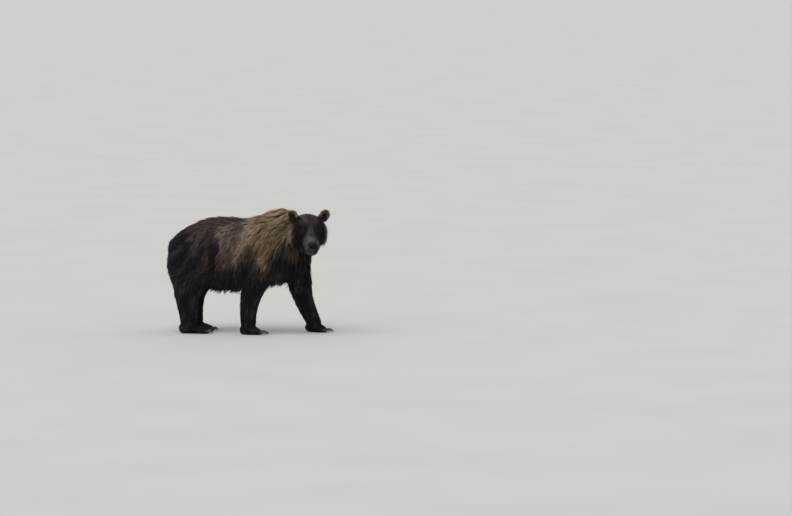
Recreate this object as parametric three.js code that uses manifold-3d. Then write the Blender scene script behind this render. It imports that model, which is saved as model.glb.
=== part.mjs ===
// A grizzly bear, life size, standing in mid-stride with its head turned to its right.
// Millimetres. +X is the way the body faces, +Y is its left and +Z is up. The origin is on the
// floor, under the middle of the whole figure.
import * as THREE from "three";
import { MeshSurfaceSampler } from "three/addons/math/MeshSurfaceSampler.js";
import { mergeVertices } from "three/addons/utils/BufferGeometryUtils.js";
import Module from "manifold-3d";

const wasm = await Module();
wasm.setup();
const { Manifold } = wasm;

// ---- Driving dimensions ----

const GAP = 0.3; // between pieces that touch
const CORE = 8; // dense undercoat that the locks stand out of
const SHORT_COAT = 8; // flat fur of the legs, and its tail
const FACE_COAT = 5; // and the head
const SLIVER = 0.02; // no edge that a cut leaves is shorter
const MIDDLE = new THREE.Vector3(36, -59, 0); // of the figure, in the frame that the stations use

const BACK = 1054; // height of the back, under the coat
const HUMP = 1150; // height of the shoulder hump
const BELLY = 438; // height of the belly
const WAIST = 706; // level at which the barrel is widest
const BARREL = 222; // half width of the barrel
const RUMP_X = -700; // rear end of the trunk
const CHEST_X = 596; // front of the chest

const PAW_TOP = 95; // where a leg meets its paw
const LEG_Y = 178; // from the middle to the line of a foreleg
const HIND_Y = 152; // and of a hind leg

const HEAD_AT = new THREE.Vector3(648, -217, 964); // the middle of the head, between the eyes
const HEAD_YAW = THREE.MathUtils.degToRad(-66.5); // turned to the right of the body
const HEAD_PITCH = THREE.MathUtils.degToRad(25); // muzzle lowered
const HEAD_BACK = -150; // where the head meets the neck, along its own axis
const EYE = { x: 48, y: 57, z: 25, radius: 13.5 };
const NOSE = { x: 223, z: -20, depth: 19, width: 37, height: 30 };
const EAR = { x: -80, y: 150, z: 127, depth: 27, width: 52, height: 58 };

const COLOURS = { dark: 0x2a2120, flank: 0x57432f, mane: 0x8f6d44, face: 0x33282a, muzzle: 0x5c4c45 };
const BLACK = 0x17161a;
const HORN = 0x4a3f34;

// ---- Solids ----

// A closed three.js geometry as a solid that can be joined and cut.
function solid(geometry) {
  const bare = geometry.clone();
  bare.deleteAttribute("normal");
  bare.deleteAttribute("uv");
  const merged = mergeVertices(bare, 1e-3);
  return new Manifold(
    new wasm.Mesh({
      numProp: 3,
      vertProperties: merged.attributes.position.array,
      triVerts: new Uint32Array(merged.index.array),
    }),
  );
}

function geometryOf(made) {
  const mesh = made.getMesh();
  const geometry = new THREE.BufferGeometry()
    .setAttribute("position", new THREE.BufferAttribute(mesh.vertProperties, 3))
    .setIndex(new THREE.BufferAttribute(mesh.triVerts, 1));
  geometry.computeVertexNormals();
  return geometry;
}

const moved = (made, matrix) => made.transform(matrix.elements);
const union = (solids) => Manifold.union(solids);
const largest = (made) => made.decompose().reduce((a, b) => (a.volume() > b.volume() ? a : b));

// A seeded draw, so that every build is the same.
function draws(seed) {
  let state = seed;
  return (low = 0, high = 1) => {
    state = (state * 16807) % 2147483647;
    return low + ((high - low) * state) / 2147483647;
  };
}

// A closed surface through rings of points that run along it; each ring turns from side to up.
function skinOf(rings, tip) {
  const sides = rings[0].length;
  const middle = (ring) => ring.reduce((sum, p) => sum.add(p), new THREE.Vector3()).divideScalar(sides);
  const points = [...rings.flat(), middle(rings[0]), tip ?? middle(rings.at(-1))];
  const faces = [];
  for (let i = 0; i + 1 < rings.length; i++)
    for (let j = 0; j < sides; j++) {
      const [a, b] = [i * sides + j, i * sides + ((j + 1) % sides)];
      faces.push(a, a + sides, b, b, a + sides, b + sides);
    }
  const end = (rings.length - 1) * sides;
  for (let j = 0; j < sides; j++) {
    faces.push(points.length - 2, j, (j + 1) % sides);
    faces.push(points.length - 1, end + ((j + 1) % sides), end + j);
  }
  return solid(new THREE.BufferGeometry().setFromPoints(points).setIndex(faces));
}

// A body or limb: egg-shaped rings along a smooth line through stations of
// [x, y, z, half width, rise towards up, drop away from it].
function loft(stations, { up, sides = 20, steps = 14, grow = 0 }) {
  const smooth = (points) => new THREE.CatmullRomCurve3(points, false, "catmullrom", 0.5);
  const line = smooth(stations.map(([x, y, z]) => new THREE.Vector3(x, y, z)));
  const sizes = smooth(stations.map(([, , , side, rise, drop]) => new THREE.Vector3(side, rise, drop)));
  const rings = [];
  for (let i = 0; i <= steps; i++) {
    const t = i / steps;
    const along = line.getTangent(t);
    const rise = up.clone().projectOnPlane(along).normalize();
    const side = along.clone().cross(rise);
    const size = sizes.getPoint(t).addScalar(grow);
    const end = i === 0 ? -grow : i === steps ? grow : 0;
    const centre = line.getPoint(t).addScaledVector(along, end);
    rings.push(
      Array.from({ length: sides }, (_, j) => {
        const a = (j / sides) * 2 * Math.PI;
        return centre
          .clone()
          .addScaledVector(side, size.x * Math.cos(a))
          .addScaledVector(rise, (Math.sin(a) > 0 ? size.y : size.z) * Math.sin(a));
      }),
    );
  }
  return skinOf(rings);
}

function ball([x, y, z], [a, b, c], { round = 16, turn = [0, 0, 0] } = {}) {
  const at = new THREE.Matrix4().compose(
    new THREE.Vector3(x, y, z),
    new THREE.Quaternion().setFromEuler(new THREE.Euler(...turn)),
    new THREE.Vector3(a, b, c),
  );
  return moved(solid(new THREE.SphereGeometry(1, round, round / 2)), at);
}

function box([x0, y0, z0], [x1, y1, z1]) {
  const geometry = new THREE.BoxGeometry(x1 - x0, y1 - y0, z1 - z0);
  return solid(geometry.translate((x0 + x1) / 2, (y0 + y1) / 2, (z0 + z1) / 2));
}

const LENGTHWAYS = new THREE.Vector3(1, 0, 0);
const UPWARDS = new THREE.Vector3(0, 0, 1);

// ---- Trunk, shoulders and haunches ----

const TRUNK = [
  [RUMP_X, 0, 720, 0.3 * BARREL, 84, 80],
  [RUMP_X + 46, 0, 720, 0.64 * BARREL, 146, 160],
  [RUMP_X + 150, 0, 720, 0.86 * BARREL, 238, 220],
  [-400, 0, WAIST + 4, 0.95 * BARREL, BACK - WAIST - 24, 240],
  [-200, 0, WAIST, BARREL, BACK - WAIST + 4, WAIST - BELLY],
  [30, 0, WAIST, BARREL, BACK - WAIST - 6, WAIST - BELLY],
  [220, 0, WAIST + 10, 0.95 * BARREL, HUMP - WAIST - 76, 230],
  [370, 0, WAIST + 40, 0.86 * BARREL, HUMP - WAIST - 60, 238],
  [500, 0, WAIST + 60, 0.7 * BARREL, 290, 205],
  [CHEST_X, 0, WAIST + 60, 0.36 * BARREL, 150, 120],
];
const HUMP_RIDGE = [
  [130, 0, 960, 50, 60, 60],
  [230, 0, 970, 92, 94, 90],
  [345, 0, 975, 108, HUMP - 988, 100],
  [425, 0, 970, 100, HUMP - 988, 95],
  [500, 0, 955, 64, 76, 70],
];

// Stations of a limb run from the body outwards; right is the mirror of left where side is -1.
const sided = (stations, side) => stations.map(([x, y, ...rest]) => [x, side * y, ...rest]);

// The right foreleg stands behind the shoulder at the end of its stride, and the left reaches forward.
const SHOULDER_BACK = [
  [378, 88, 1010, 38, 62, 62],
  [388, 126, 905, 66, 120, 118],
  [370, 152, 780, 84, 142, 142],
  [292, 168, 665, 88, 128, 138],
  [222, 172, 585, 80, 104, 118],
  [186, 170, 538, 52, 66, 78],
];
const SHOULDER_FORWARD = [
  [392, 88, 1010, 38, 62, 62],
  [412, 126, 905, 66, 118, 118],
  [432, 152, 790, 84, 132, 142],
  [452, 168, 685, 86, 118, 138],
  [464, 172, 600, 80, 98, 118],
  [470, 172, 552, 52, 64, 78],
];
const FORELEG_BACK = [
  [262, LEG_Y - 4, 640, 74, 96, 104],
  [186, LEG_Y, 540, 76, 98, 102],
  [130, LEG_Y, 440, 72, 88, 94],
  [92, LEG_Y, 320, 66, 78, 82],
  [72, LEG_Y - 2, 200, 58, 66, 70],
  [68, LEG_Y - 4, 90, 57, 62, 64],
  [68, LEG_Y - 4, 60, 57, 62, 64],
];
const FORELEG_FORWARD = [
  [452, LEG_Y - 2, 650, 74, 92, 104],
  [474, LEG_Y + 2, 550, 76, 94, 102],
  [494, LEG_Y + 6, 440, 72, 86, 94],
  [520, LEG_Y + 12, 320, 66, 77, 82],
  [566, LEG_Y + 16, 200, 58, 65, 70],
  [612, LEG_Y + 18, 90, 57, 61, 64],
  [624, LEG_Y + 18, 60, 57, 61, 64],
];
const HAUNCH = [
  [-462, 66, 905, 50, 84, 88],
  [-478, 116, 822, 84, 182, 172],
  [-484, 144, 705, 98, 212, 198],
  [-490, 154, 590, 97, 188, 190],
  [-492, 156, 500, 88, 154, 156],
  [-490, 155, 436, 58, 96, 98],
];
const HIND_LEG = [
  [-492, HIND_Y + 2, 560, 82, 156, 162],
  [-492, HIND_Y + 2, 455, 80, 136, 144],
  [-508, HIND_Y, 350, 68, 106, 110],
  [-506, HIND_Y - 2, 260, 61, 84, 92],
  [-502, HIND_Y - 2, 185, 58, 72, 80],
  [-500, HIND_Y - 3, 90, 58, 72, 77],
  [-500, HIND_Y - 3, 60, 58, 72, 77],
];
const FAR_HIND_STEP = -14; // the left hind leg stands this far ahead of the right

const LEGS = [
  { name: "foreleg_right", mass: SHOULDER_BACK, line: FORELEG_BACK, side: -1, knee: 330, fore: true, toe: 6 },
  { name: "foreleg_left", mass: SHOULDER_FORWARD, line: FORELEG_FORWARD, side: 1, knee: 330, fore: true, toe: -14 },
  { name: "hindleg_right", mass: HAUNCH, line: HIND_LEG, side: -1, knee: 300, fore: false, toe: 3 },
  {
    name: "hindleg_left",
    mass: HAUNCH,
    line: HIND_LEG.map(([x, ...rest]) => [x + FAR_HIND_STEP, ...rest]),
    side: 1,
    knee: 300,
    fore: false,
    toe: -4,
  },
];

const limb = ({ line, side }, grow = 0) =>
  loft(sided(line, side), { up: LENGTHWAYS, sides: 12, steps: 7, grow });

const masses = (grow) =>
  LEGS.map(({ mass, side }) => loft(sided(mass, side), { up: LENGTHWAYS, sides: 12, steps: 5, grow }));

const TAIL = [
  [-632, 0, 868, 24, 22, 22],
  [-674, 0, 838, 25, 21, 21],
  [-702, 0, 796, 24, 18, 18],
  [-718, 0, 757, 17, 12, 12],
  [-723, 0, 736, 5, 4, 4],
];
const tailCore = (grow = 0) => loft(TAIL, { up: LENGTHWAYS, sides: 8, steps: 6, grow });

// ---- Head: everything in this part is in the head's own frame, +X along the muzzle ----

const headPlace = new THREE.Matrix4().compose(
  HEAD_AT,
  new THREE.Quaternion().setFromEuler(new THREE.Euler(0, HEAD_PITCH, HEAD_YAW, "ZYX")),
  new THREE.Vector3(1, 1, 1),
);

const SKULL = [
  [HEAD_BACK, 0, -15, 126, 98, 122],
  [-95, 0, -5, 152, 126, 142],
  [-30, 0, -5, 148, 120, 138],
  [22, 0, -20, 114, 90, 108],
  [56, 0, -36, 83, 78, 86],
  [92, 0, -47, 73, 74, 70],
  [140, 0, -55, 71, 71, 60],
  [190, 0, -59, 69, 66, 52],
  [222, 0, -59, 53, 52, 40],
];
const MUZZLE_END = 217;
const JAW = [
  [-20, 0, -112, 98, 40, 44],
  [60, 0, -108, 70, 36, 44],
  [120, 0, -105, 60, 32, 40],
  [175, 0, -104, 58, 30, 38],
  [203, 0, -101, 48, 24, 33],
  [217, 0, -97, 30, 13, 18],
];
const MOUTH_CORNER = 62;

// What lies under the line of the mouth, seen from the side: it droops to the corner of the lips.
function underMouth(gap) {
  const line = new THREE.Shape();
  line.moveTo(MOUTH_CORNER - gap, -82 + gap);
  line.quadraticCurveTo(110, -104 + gap, 170, -95 + gap);
  line.quadraticCurveTo(200, -90 + gap, 260, -84 + gap);
  line.lineTo(260, -240);
  line.lineTo(MOUTH_CORNER - gap, -240);
  const geometry = new THREE.ExtrudeGeometry(line, { depth: 400, bevelEnabled: false, curveSegments: 7 });
  return solid(geometry.translate(0, 0, -200).rotateX(Math.PI / 2));
}

const both = (make) => [make(-1), make(1)];

// The eyeball looks forward and a little to its own side.
const GAZE = THREE.MathUtils.degToRad(26);

function eyePlace(side) {
  return new THREE.Matrix4()
    .makeTranslation(EYE.x, side * EYE.y, EYE.z)
    .multiply(new THREE.Matrix4().makeRotationZ(side * GAZE));
}

// The opening between the lids, along the gaze; its inner corner points to the nose and lies lower.
function lidOpening(side) {
  const almond = new THREE.Shape();
  almond.moveTo(-14 * side, -4);
  almond.quadraticCurveTo(-1 * side, 14, 13.5 * side, 4);
  almond.quadraticCurveTo(2 * side, -11, -14 * side, -4);
  const geometry = new THREE.ExtrudeGeometry(almond, { depth: 40, bevelEnabled: false, curveSegments: 6 });
  const facing = new THREE.Matrix4().makeBasis(
    new THREE.Vector3(0, 1, 0),
    new THREE.Vector3(0, 0, 1),
    new THREE.Vector3(1, 0, 0),
  );
  return moved(solid(geometry), eyePlace(side).multiply(facing));
}

const eyeball = (side, grow = 0) =>
  moved(ball([0, 0, 0], Array(3).fill(EYE.radius + grow), { round: 12 }), eyePlace(side));

const earPlace = (side) =>
  new THREE.Matrix4().compose(
    new THREE.Vector3(EAR.x, side * EAR.y, EAR.z),
    new THREE.Quaternion().setFromEuler(new THREE.Euler(side * -0.42, -0.1, side * 0.3, "ZYX")),
    new THREE.Vector3(1, 1, 1),
  );

// A round cup, open forwards, with a rim as thick as a furred ear's.
function ear(side, grow = 0) {
  const { depth, width, height } = EAR;
  const outer = ball([0, 0, 0], [depth + grow, width + grow, height + grow], { round: 14 });
  const cup = ball([20, 0, 8], [depth - 2 - grow, width - 13 - grow, height - 14 - grow], { round: 10 });
  return moved(outer.subtract(cup), earPlace(side));
}

function nosePad(grow = 0) {
  const { x, z, depth, width, height } = NOSE;
  const pad = union([
    ball([x, 0, z + 3], [depth + grow, width + grow, height - 5 + grow], { round: 12 }),
    ball([x - 2, 0, z - 12], [depth - 2 + grow, 17 + grow, height - 8 + grow], { round: 10 }),
  ]);
  if (grow) return pad;
  const nostrils = both((side) =>
    ball([x + 15, side * 17, z + 1], [14, 11, 6.5], { round: 8, turn: [side * -0.35, 0, side * 0.3] }),
  );
  const philtrum = box([x + 12, -1.3, z - 44], [x + 30, 1.3, z - 6]);
  return pad.subtract(union([...nostrils, philtrum]));
}

// Skull, cheeks, brows, lips and the lids' roundness in one.
function headCore(grow = 0) {
  const big = (radii) => radii.map((r) => r + grow);
  const cheeks = both((side) => ball([-58, side * 80, -50], big([104, 84, 102]), { round: 14 }));
  const brows = both((side) => ball([12, side * 54, 51], big([36, 34, 17]), { round: 8, turn: [0, 0.62, 0] }));
  const lips = both((side) =>
    loft(
      [
        [MOUTH_CORNER - 12, side * 66, -78, 8, 10, 10],
        [110, side * 55, -92, 8, 9, 9],
        [165, side * 47, -88, 8, 9, 9],
        [208, side * 27, -83, 8, 9, 9],
        [221, side * 5, -81, 7, 8, 8],
      ],
      { up: UPWARDS, sides: 6, steps: 5, grow },
    ),
  );
  const lidBalls = both((side) => moved(ball([0, 0, 0], big([18.5, 19, 18.5]), { round: 10 }), eyePlace(side)));
  return union([
    loft(SKULL, { up: UPWARDS, sides: 16, steps: 12, grow }),
    loft(JAW, { up: UPWARDS, sides: 12, steps: 5, grow }),
    ...cheeks,
    ...brows,
    ...lips,
    ...lidBalls,
  ]);
}

// ---- Neck ----

const inWorld = ([x, y, z, ...sizes]) => {
  const p = new THREE.Vector3(x, y, z).applyMatrix4(headPlace);
  return [p.x, p.y, p.z, ...sizes];
};
// The neck bends to the right in three straight lengths that overlap.
const NECK_ROOT = [
  [320, 0, 880, 174, 196, 240],
  [430, 4, 900, 172, 200, 225],
  [520, 6, 915, 158, 180, 205],
  [592, 8, 925, 112, 128, 150],
];
const NECK_TURN = [
  [418, 78, 888, 104, 120, 130],
  [490, 38, 915, 152, 156, 190],
  [560, -20, 945, 158, 140, 190],
  [622, -92, 962, 118, 104, 142],
];
const NECK_BACK = [
  inWorld([-278, 28, -92, 92, 88, 104]),
  inWorld([-215, 10, -60, 138, 100, 158]),
  inWorld([-160, 0, -32, 140, 98, 150]),
  inWorld([-90, 0, -15, 130, 98, 135]),
];

// Trunk, hump, shoulders, haunches and neck in one.
const bodyCore = (grow = 0) =>
  union([
    loft(TRUNK, { up: UPWARDS, sides: 18, steps: 12, grow }),
    loft(HUMP_RIDGE, { up: UPWARDS, sides: 10, steps: 5, grow }),
    ...masses(grow),
    ...[NECK_ROOT, NECK_TURN, NECK_BACK].map((part) => loft(part, { up: UPWARDS, sides: 12, steps: 4, grow })),
  ]);

// The neck ends on a plane that leans from before the hump down to the top of the chest.
const COLLAR = new THREE.Vector3(488, 0, 930);
const COLLAR_LEAN = Math.atan2(180, 450);
const beyondCollar = ({ x, z }) => (x - COLLAR.x) * Math.cos(COLLAR_LEAN) + (z - COLLAR.z) * Math.sin(COLLAR_LEAN) > 0;
function beforeCollar(gap = 0) {
  const geometry = new THREE.BoxGeometry(900, 1400, 1400).translate(450 - gap, 0, 0);
  return solid(geometry.rotateY(-COLLAR_LEAN).translate(...COLLAR));
}

// ---- Paws, each in its own frame, +X towards the toes and the sole at z = 0 ----

const PAWS = {
  fore: {
    ankle: [70, 66],
    sole: [
      [-76, 0, 46, 34, 26, 26],
      [-54, 0, 44, 56, 42, 40],
      [0, 0, 44, 68, 48, 50],
      [50, 0, 36, 72, 40, 43],
      [92, 0, 26, 68, 27, 30],
    ],
    toeX: 98,
    toe: [34, 16, 23],
    claw: 62,
  },
  hind: {
    ankle: [82, 66],
    sole: [
      [-90, 0, 42, 34, 28, 30],
      [-62, 0, 46, 54, 46, 50],
      [0, 0, 46, 60, 46, 52],
      [80, 0, 36, 64, 36, 42],
      [150, 0, 25, 64, 24, 28],
    ],
    toeX: 158,
    toe: [32, 15, 21],
    claw: 36,
  },
};
const TOES = [-2, -1, 0, 1, 2];

// The outer toes stand back from the middle one.
const toeAt = ({ toeX, toe }, n) => ({ x: toeX - 5 * n * n, y: n * 28, turn: THREE.MathUtils.degToRad(5 * n), toe });

function claw(kind, n) {
  const { x, y, turn, toe } = toeAt(kind, n);
  const reach = kind.claw;
  const stations = [
    [toe[0] - 14, 0, 24, 6, 8, 7],
    [toe[0] + 0.25 * reach, 0, 27, 5.4, 7.5, 6.5],
    [toe[0] + 0.65 * reach, 0, 20, 3.6, 5, 4.6],
    [toe[0] + reach, 0, 6, 0.7, 0.9, 0.9],
  ];
  const place = new THREE.Matrix4().makeTranslation(x, y, 0).multiply(new THREE.Matrix4().makeRotationZ(turn));
  return moved(loft(stations, { up: UPWARDS, sides: 5, steps: 3 }), place);
}

// Flat where it stands on the floor.
function paw(kind, grow = 0) {
  const [long, wide] = kind.ankle;
  const ankle = new THREE.CylinderGeometry(1, 1, PAW_TOP - 20, 10).rotateX(Math.PI / 2);
  ankle.scale(long + grow, wide + grow, 1).translate(-2, 0, (PAW_TOP + 20) / 2);
  const toes = TOES.map((n) => {
    const { x, y, turn, toe } = toeAt(kind, n);
    const [a, b, c] = toe.map((radius) => radius + grow);
    return ball([x, y, toe[2] - 3], [a, b, c], { round: 8, turn: [0, 0, turn] });
  });
  const whole = union([solid(ankle), loft(kind.sole, { up: UPWARDS, sides: 12, steps: 4, grow }), ...toes]);
  return whole.intersect(box([-300, -200, 0], [400, 200, PAW_TOP]));
}

// ---- Locks of the coat ----

const LOCK = { length: 255, width: 126, stand: 32, spacing: 128 };
const HANGING = { length: 215, stand: 22 }; // of the belly, the brisket and the throat
const LEG_LOCK = { length: 150, width: 74, stand: 18, spacing: 122 };
const TAIL_LOCK = { length: 80, width: 34, stand: 10, spacing: 66 };
const RUFF = { length: 130, width: 62, stand: 20, spacing: 76 };

// Half width, height of the ridge and height of the edges, in shares of the lock's own, from root to tip.
const LOCK_RINGS = [
  [0.34, -0.25, -0.7],
  [0.5, 0.6, 0.25],
  [0.38, 0.9, 0.5],
];

// A body's surface, to set locks on and to lead them along.
function surfaceOf(made) {
  const mesh = new THREE.Mesh(geometryOf(made));
  const ray = new THREE.Raycaster();
  const under = (point, normal) => {
    ray.set(point.clone().addScaledVector(normal, 90), normal.clone().negate());
    return ray.intersectObject(mesh)[0];
  };
  // Roots spread evenly, none nearer to another than the spacing.
  const roots = (draw, spacing, keep) => {
    const sampler = new MeshSurfaceSampler(mesh).setRandomGenerator(() => draw()).build();
    const found = [];
    for (let i = 0; i < 5000; i++) {
      const [point, normal] = [new THREE.Vector3(), new THREE.Vector3()];
      sampler.sample(point, normal);
      if (keep(point, normal) && found.every((other) => other.point.distanceTo(point) > spacing))
        found.push({ point, normal: under(point, normal)?.normal ?? normal });
    }
    return found;
  };
  return { under, roots };
}

// A flat, tapered lock with a low ridge. It starts inside the body, runs down its surface along the
// lie of the coat and stands off it more and more. With less cling it leaves the surface and hangs.
function lock(surface, root, { length, width, stand, lie, turn = 0, bend = 0, cling = 1, hang = 0 }, grow = 0) {
  const at = root.point.clone();
  const normal = root.normal.clone();
  const way = lie(at).projectOnPlane(normal).normalize().applyAxisAngle(normal, turn);
  const step = length / LOCK_RINGS.length;
  const rings = [];
  for (const [half, ridge, edge] of LOCK_RINGS) {
    const side = way.clone().cross(normal).normalize();
    const [high, low] = [ridge * stand, edge * stand];
    const wide = half * width * (1 + (2 * grow) / (high - low));
    const centre = at.clone().addScaledVector(way, rings.length ? 0 : -2 * grow);
    const place = (across, up) => centre.clone().addScaledVector(side, across).addScaledVector(normal, up);
    rings.push([place(wide, low - grow), place(0, high + 1.2 * grow), place(-wide, low - grow)]);
    at.addScaledVector(way, step);
    const ground = surface.under(at, normal);
    if (ground) {
      at.lerp(ground.point, cling);
      normal.lerp(ground.normal, cling).normalize();
    }
    way.applyAxisAngle(normal, bend / LOCK_RINGS.length).addScaledVector(UPWARDS, -hang);
    way.projectOnPlane(normal).normalize();
  }
  const tip = at.addScaledVector(normal, 0.9 * stand).addScaledVector(way, 4 * grow);
  return skinOf(rings, tip);
}

// Many locks, each a little different, plain and with room round them.
function coatOf(surface, seed, size, keep, style) {
  const draw = draws(seed);
  const locks = surface.roots(draw, size.spacing, keep).map((root) => {
    const kind = style(root.point, root.normal);
    const scale = draw(0.85, 1.15);
    const made = {
      ...size,
      ...kind,
      length: (kind.length ?? size.length) * scale,
      width: size.width * draw(0.85, 1.15),
      stand: (kind.stand ?? size.stand) * draw(0.85, 1.15),
      turn: draw(-0.22, 0.22),
      bend: draw(-0.4, 0.4),
    };
    return { root, solid: lock(surface, root, made), room: lock(surface, root, made, 1.5 * GAP) };
  });
  return locks;
}
const solids = (locks) => locks.map(({ solid: made }) => made);
const rooms = (locks) => locks.flatMap(({ solid: made, room }) => [made, room]);

// The coat lies back along the barrel and down its sides, and hangs where the body turns under.
const towards = (...way) => new THREE.Vector3(...way);
function lieOfBody({ x, y, z }) {
  if (beyondCollar({ x, z })) return towards(-0.5, 0.1, -0.85);
  if (x > 430) return towards(0.05, 0, -1);
  if (x > 150) return towards(-0.34, 0, -0.94);
  if (x < -450) return towards(-0.72, 0, -0.7);
  return towards(-0.55, 0, -0.84);
}
const under = (normal) => THREE.MathUtils.smoothstep(-normal.z, 0.15, 0.75);
function styleOfBody(point, normal) {
  const low = under(normal);
  const deep = point.x > 120 && point.z > 700 ? 5 : 0; // the mane and the hump are longer
  const style = { lie: lieOfBody, stand: LOCK.stand + deep, cling: 1, hang: 0 };
  if (low > 0) {
    style.cling = 1 - 0.85 * low;
    style.hang = 0.7 * low;
    style.length = THREE.MathUtils.lerp(LOCK.length, HANGING.length, low);
    style.stand = HANGING.stand;
  }
  return style;
}

// ---- The figure ----

const figure = new THREE.Group();
figure.position.copy(MIDDLE).negate();

function add(parent, name, made, colour, roughness = 0.9) {
  const material = new THREE.MeshStandardMaterial({ color: colour, roughness, metalness: 0 });
  const mesh = new THREE.Mesh(geometryOf(largest(made.simplify(SLIVER))), material);
  mesh.name = name;
  parent.add(mesh);
}

// Bodies without locks, and the same with room round them.
const body = bodyCore(CORE);
const bodyRoom = bodyCore(CORE + GAP);
const behind = (made, gap = 0) => made.subtract(beforeCollar(gap));
const before = (made, gap = 0) => made.intersect(beforeCollar(gap));
const limbs = LEGS.map((leg) => limb(leg, SHORT_COAT));
const limbRooms = LEGS.map((leg) => limb(leg, SHORT_COAT + GAP));
const tailRoom = tailCore(CORE + GAP);
const ears = both((side) => ear(side, GAP));
const skull = headCore(FACE_COAT);

// The ruff of the cheeks, in the head's own frame.
const toHead = headPlace.clone().invert();
const ruff = coatOf(
  surfaceOf(skull),
  11,
  RUFF,
  ({ x, y, z }) => x < -5 && x > -130 && Math.abs(y) > 84 && z < 50 && z > -125,
  ({ y }) => ({ lie: () => towards(-0.6, 0.4 * Math.sign(y), -0.7), cling: 0.35 }),
);
const headRoom = moved(union([headCore(FACE_COAT + GAP), ...ears, ...rooms(ruff)]), headPlace);

const coat = coatOf(surfaceOf(body), 23, LOCK, () => true, styleOfBody);
const mane = coat.filter(({ root }) => beyondCollar(root.point));
const pelt = coat.filter(({ root }) => !beyondCollar(root.point));
const maneRoom = union(rooms(mane));
const peltRoom = union(rooms(pelt));

const maneCoat = union(solids(mane)).subtract(union([behind(bodyRoom, GAP), headRoom, ...limbRooms]));
const peltCoat = union(solids(pelt)).subtract(
  union([before(bodyRoom, GAP), headRoom, maneRoom, tailRoom, ...limbRooms]),
);
const headGap = moved(union([headCore(FACE_COAT + GAP), ...ears]), headPlace);
add(figure, "torso", union([behind(body, GAP).subtract(headGap), peltCoat]), COLOURS.flank);
add(figure, "neck", union([before(body).subtract(headGap), maneCoat]), COLOURS.mane);
const tail = tailCore(CORE);
const brush = coatOf(surfaceOf(tail), 41, TAIL_LOCK, ({ z }) => z < 900, () => ({ lie: () => towards(-0.1, 0, -1) }));
const tailCoat = union(solids(brush)).subtract(union([bodyRoom, peltRoom]));
add(figure, "tail", union([tail.subtract(bodyRoom), tailCoat]), COLOURS.dark);

const headGroup = new THREE.Group();
headGroup.applyMatrix4(headPlace);
figure.add(headGroup);

const openings = both((side) => lidOpening(side));
const sockets = both((side) => eyeball(side, GAP));
const ruffCoat = union(solids(ruff)).subtract(union([...ears, moved(bodyRoom, toHead)]));
const head = union([skull, ruffCoat]).subtract(union([...openings, ...sockets, ...ears, nosePad(GAP)]));
add(headGroup, "head", head.subtract(underMouth(GAP)), COLOURS.face);
add(headGroup, "jaw", head.intersect(underMouth(0)), COLOURS.muzzle);
add(headGroup, "nose", nosePad(), BLACK, 0.45);
for (const [side, name] of [[-1, "right"], [1, "left"]]) {
  add(headGroup, "eye_" + name, eyeball(side), BLACK, 0.1);
  add(headGroup, "ear_" + name, ear(side), COLOURS.mane);
}

LEGS.forEach((leg, i) => {
  const whole = limbs[i].subtract(bodyRoom);
  const above = (z) => box([-1000, -500, z], [1000, 500, 1200]);
  const lower = whole.intersect(above(PAW_TOP + GAP)).subtract(above(leg.knee));
  const shaggy = coatOf(
    surfaceOf(limbs[i]),
    31 + i,
    LEG_LOCK,
    ({ z }, normal) => z > leg.knee + 70 && z < 600 && normal.y * leg.side > -0.7,
    ({ x }, normal) => ({ lie: () => towards(-0.35, 0, -0.94), cling: normal.x < 0 ? 0.75 : 0.95 }),
  );
  const fringe = union(solids(shaggy)).subtract(
    union([bodyRoom, peltRoom, maneRoom, limbRooms[i].subtract(above(leg.knee + GAP))]),
  );
  add(figure, leg.name + "_upper", union([whole.intersect(above(leg.knee + GAP)), fringe]), COLOURS.dark);
  add(figure, leg.name + "_lower", lower, COLOURS.dark);
  const kind = leg.fore ? PAWS.fore : PAWS.hind;
  const [x, y] = leg.line.at(-2);
  const group = new THREE.Group();
  group.position.set(x + 2, leg.side * y, 0);
  group.rotation.z = THREE.MathUtils.degToRad(leg.toe);
  figure.add(group);
  const paws = leg.name.replace("leg", "paw");
  add(group, paws, paw(kind), COLOURS.dark);
  const toesRoom = paw(kind, GAP);
  for (const n of TOES) add(group, `${paws}_claw_${n + 3}`, claw(kind, n).subtract(toesRoom), HORN, 0.5);
});

export default figure;
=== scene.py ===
"""A grizzly bear, life size, standing in mid-stride with its head turned to its right.

The shapes are given in the body's own frame, in millimetres: +X is the way the body faces, +Y its
left and +Z up. TO_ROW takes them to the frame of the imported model, in metres.
"""

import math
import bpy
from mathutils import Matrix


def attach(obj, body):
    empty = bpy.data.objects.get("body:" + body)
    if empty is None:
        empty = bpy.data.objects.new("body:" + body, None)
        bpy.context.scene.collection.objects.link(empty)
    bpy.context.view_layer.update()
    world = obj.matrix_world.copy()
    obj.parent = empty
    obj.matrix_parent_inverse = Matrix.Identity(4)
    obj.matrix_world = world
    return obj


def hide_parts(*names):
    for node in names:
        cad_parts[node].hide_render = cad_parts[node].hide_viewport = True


bl_info = {
    "name": "Grizzly bear",
    "version": (1, 0, 0),
    "blender": (4, 5, 0),
    "location": "View3D > Sidebar > Bear",
    "description": "Skin, coat, eyes, nose and claws of a still grizzly bear, and its studio",
    "category": "Object",
}

import bmesh
import bpy
import numpy as np
from bpy.props import FloatProperty, FloatVectorProperty, IntProperty, PointerProperty
from mathutils import Euler, Matrix, Vector
from mathutils.bvhtree import BVHTree
from mathutils.kdtree import KDTree

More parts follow.
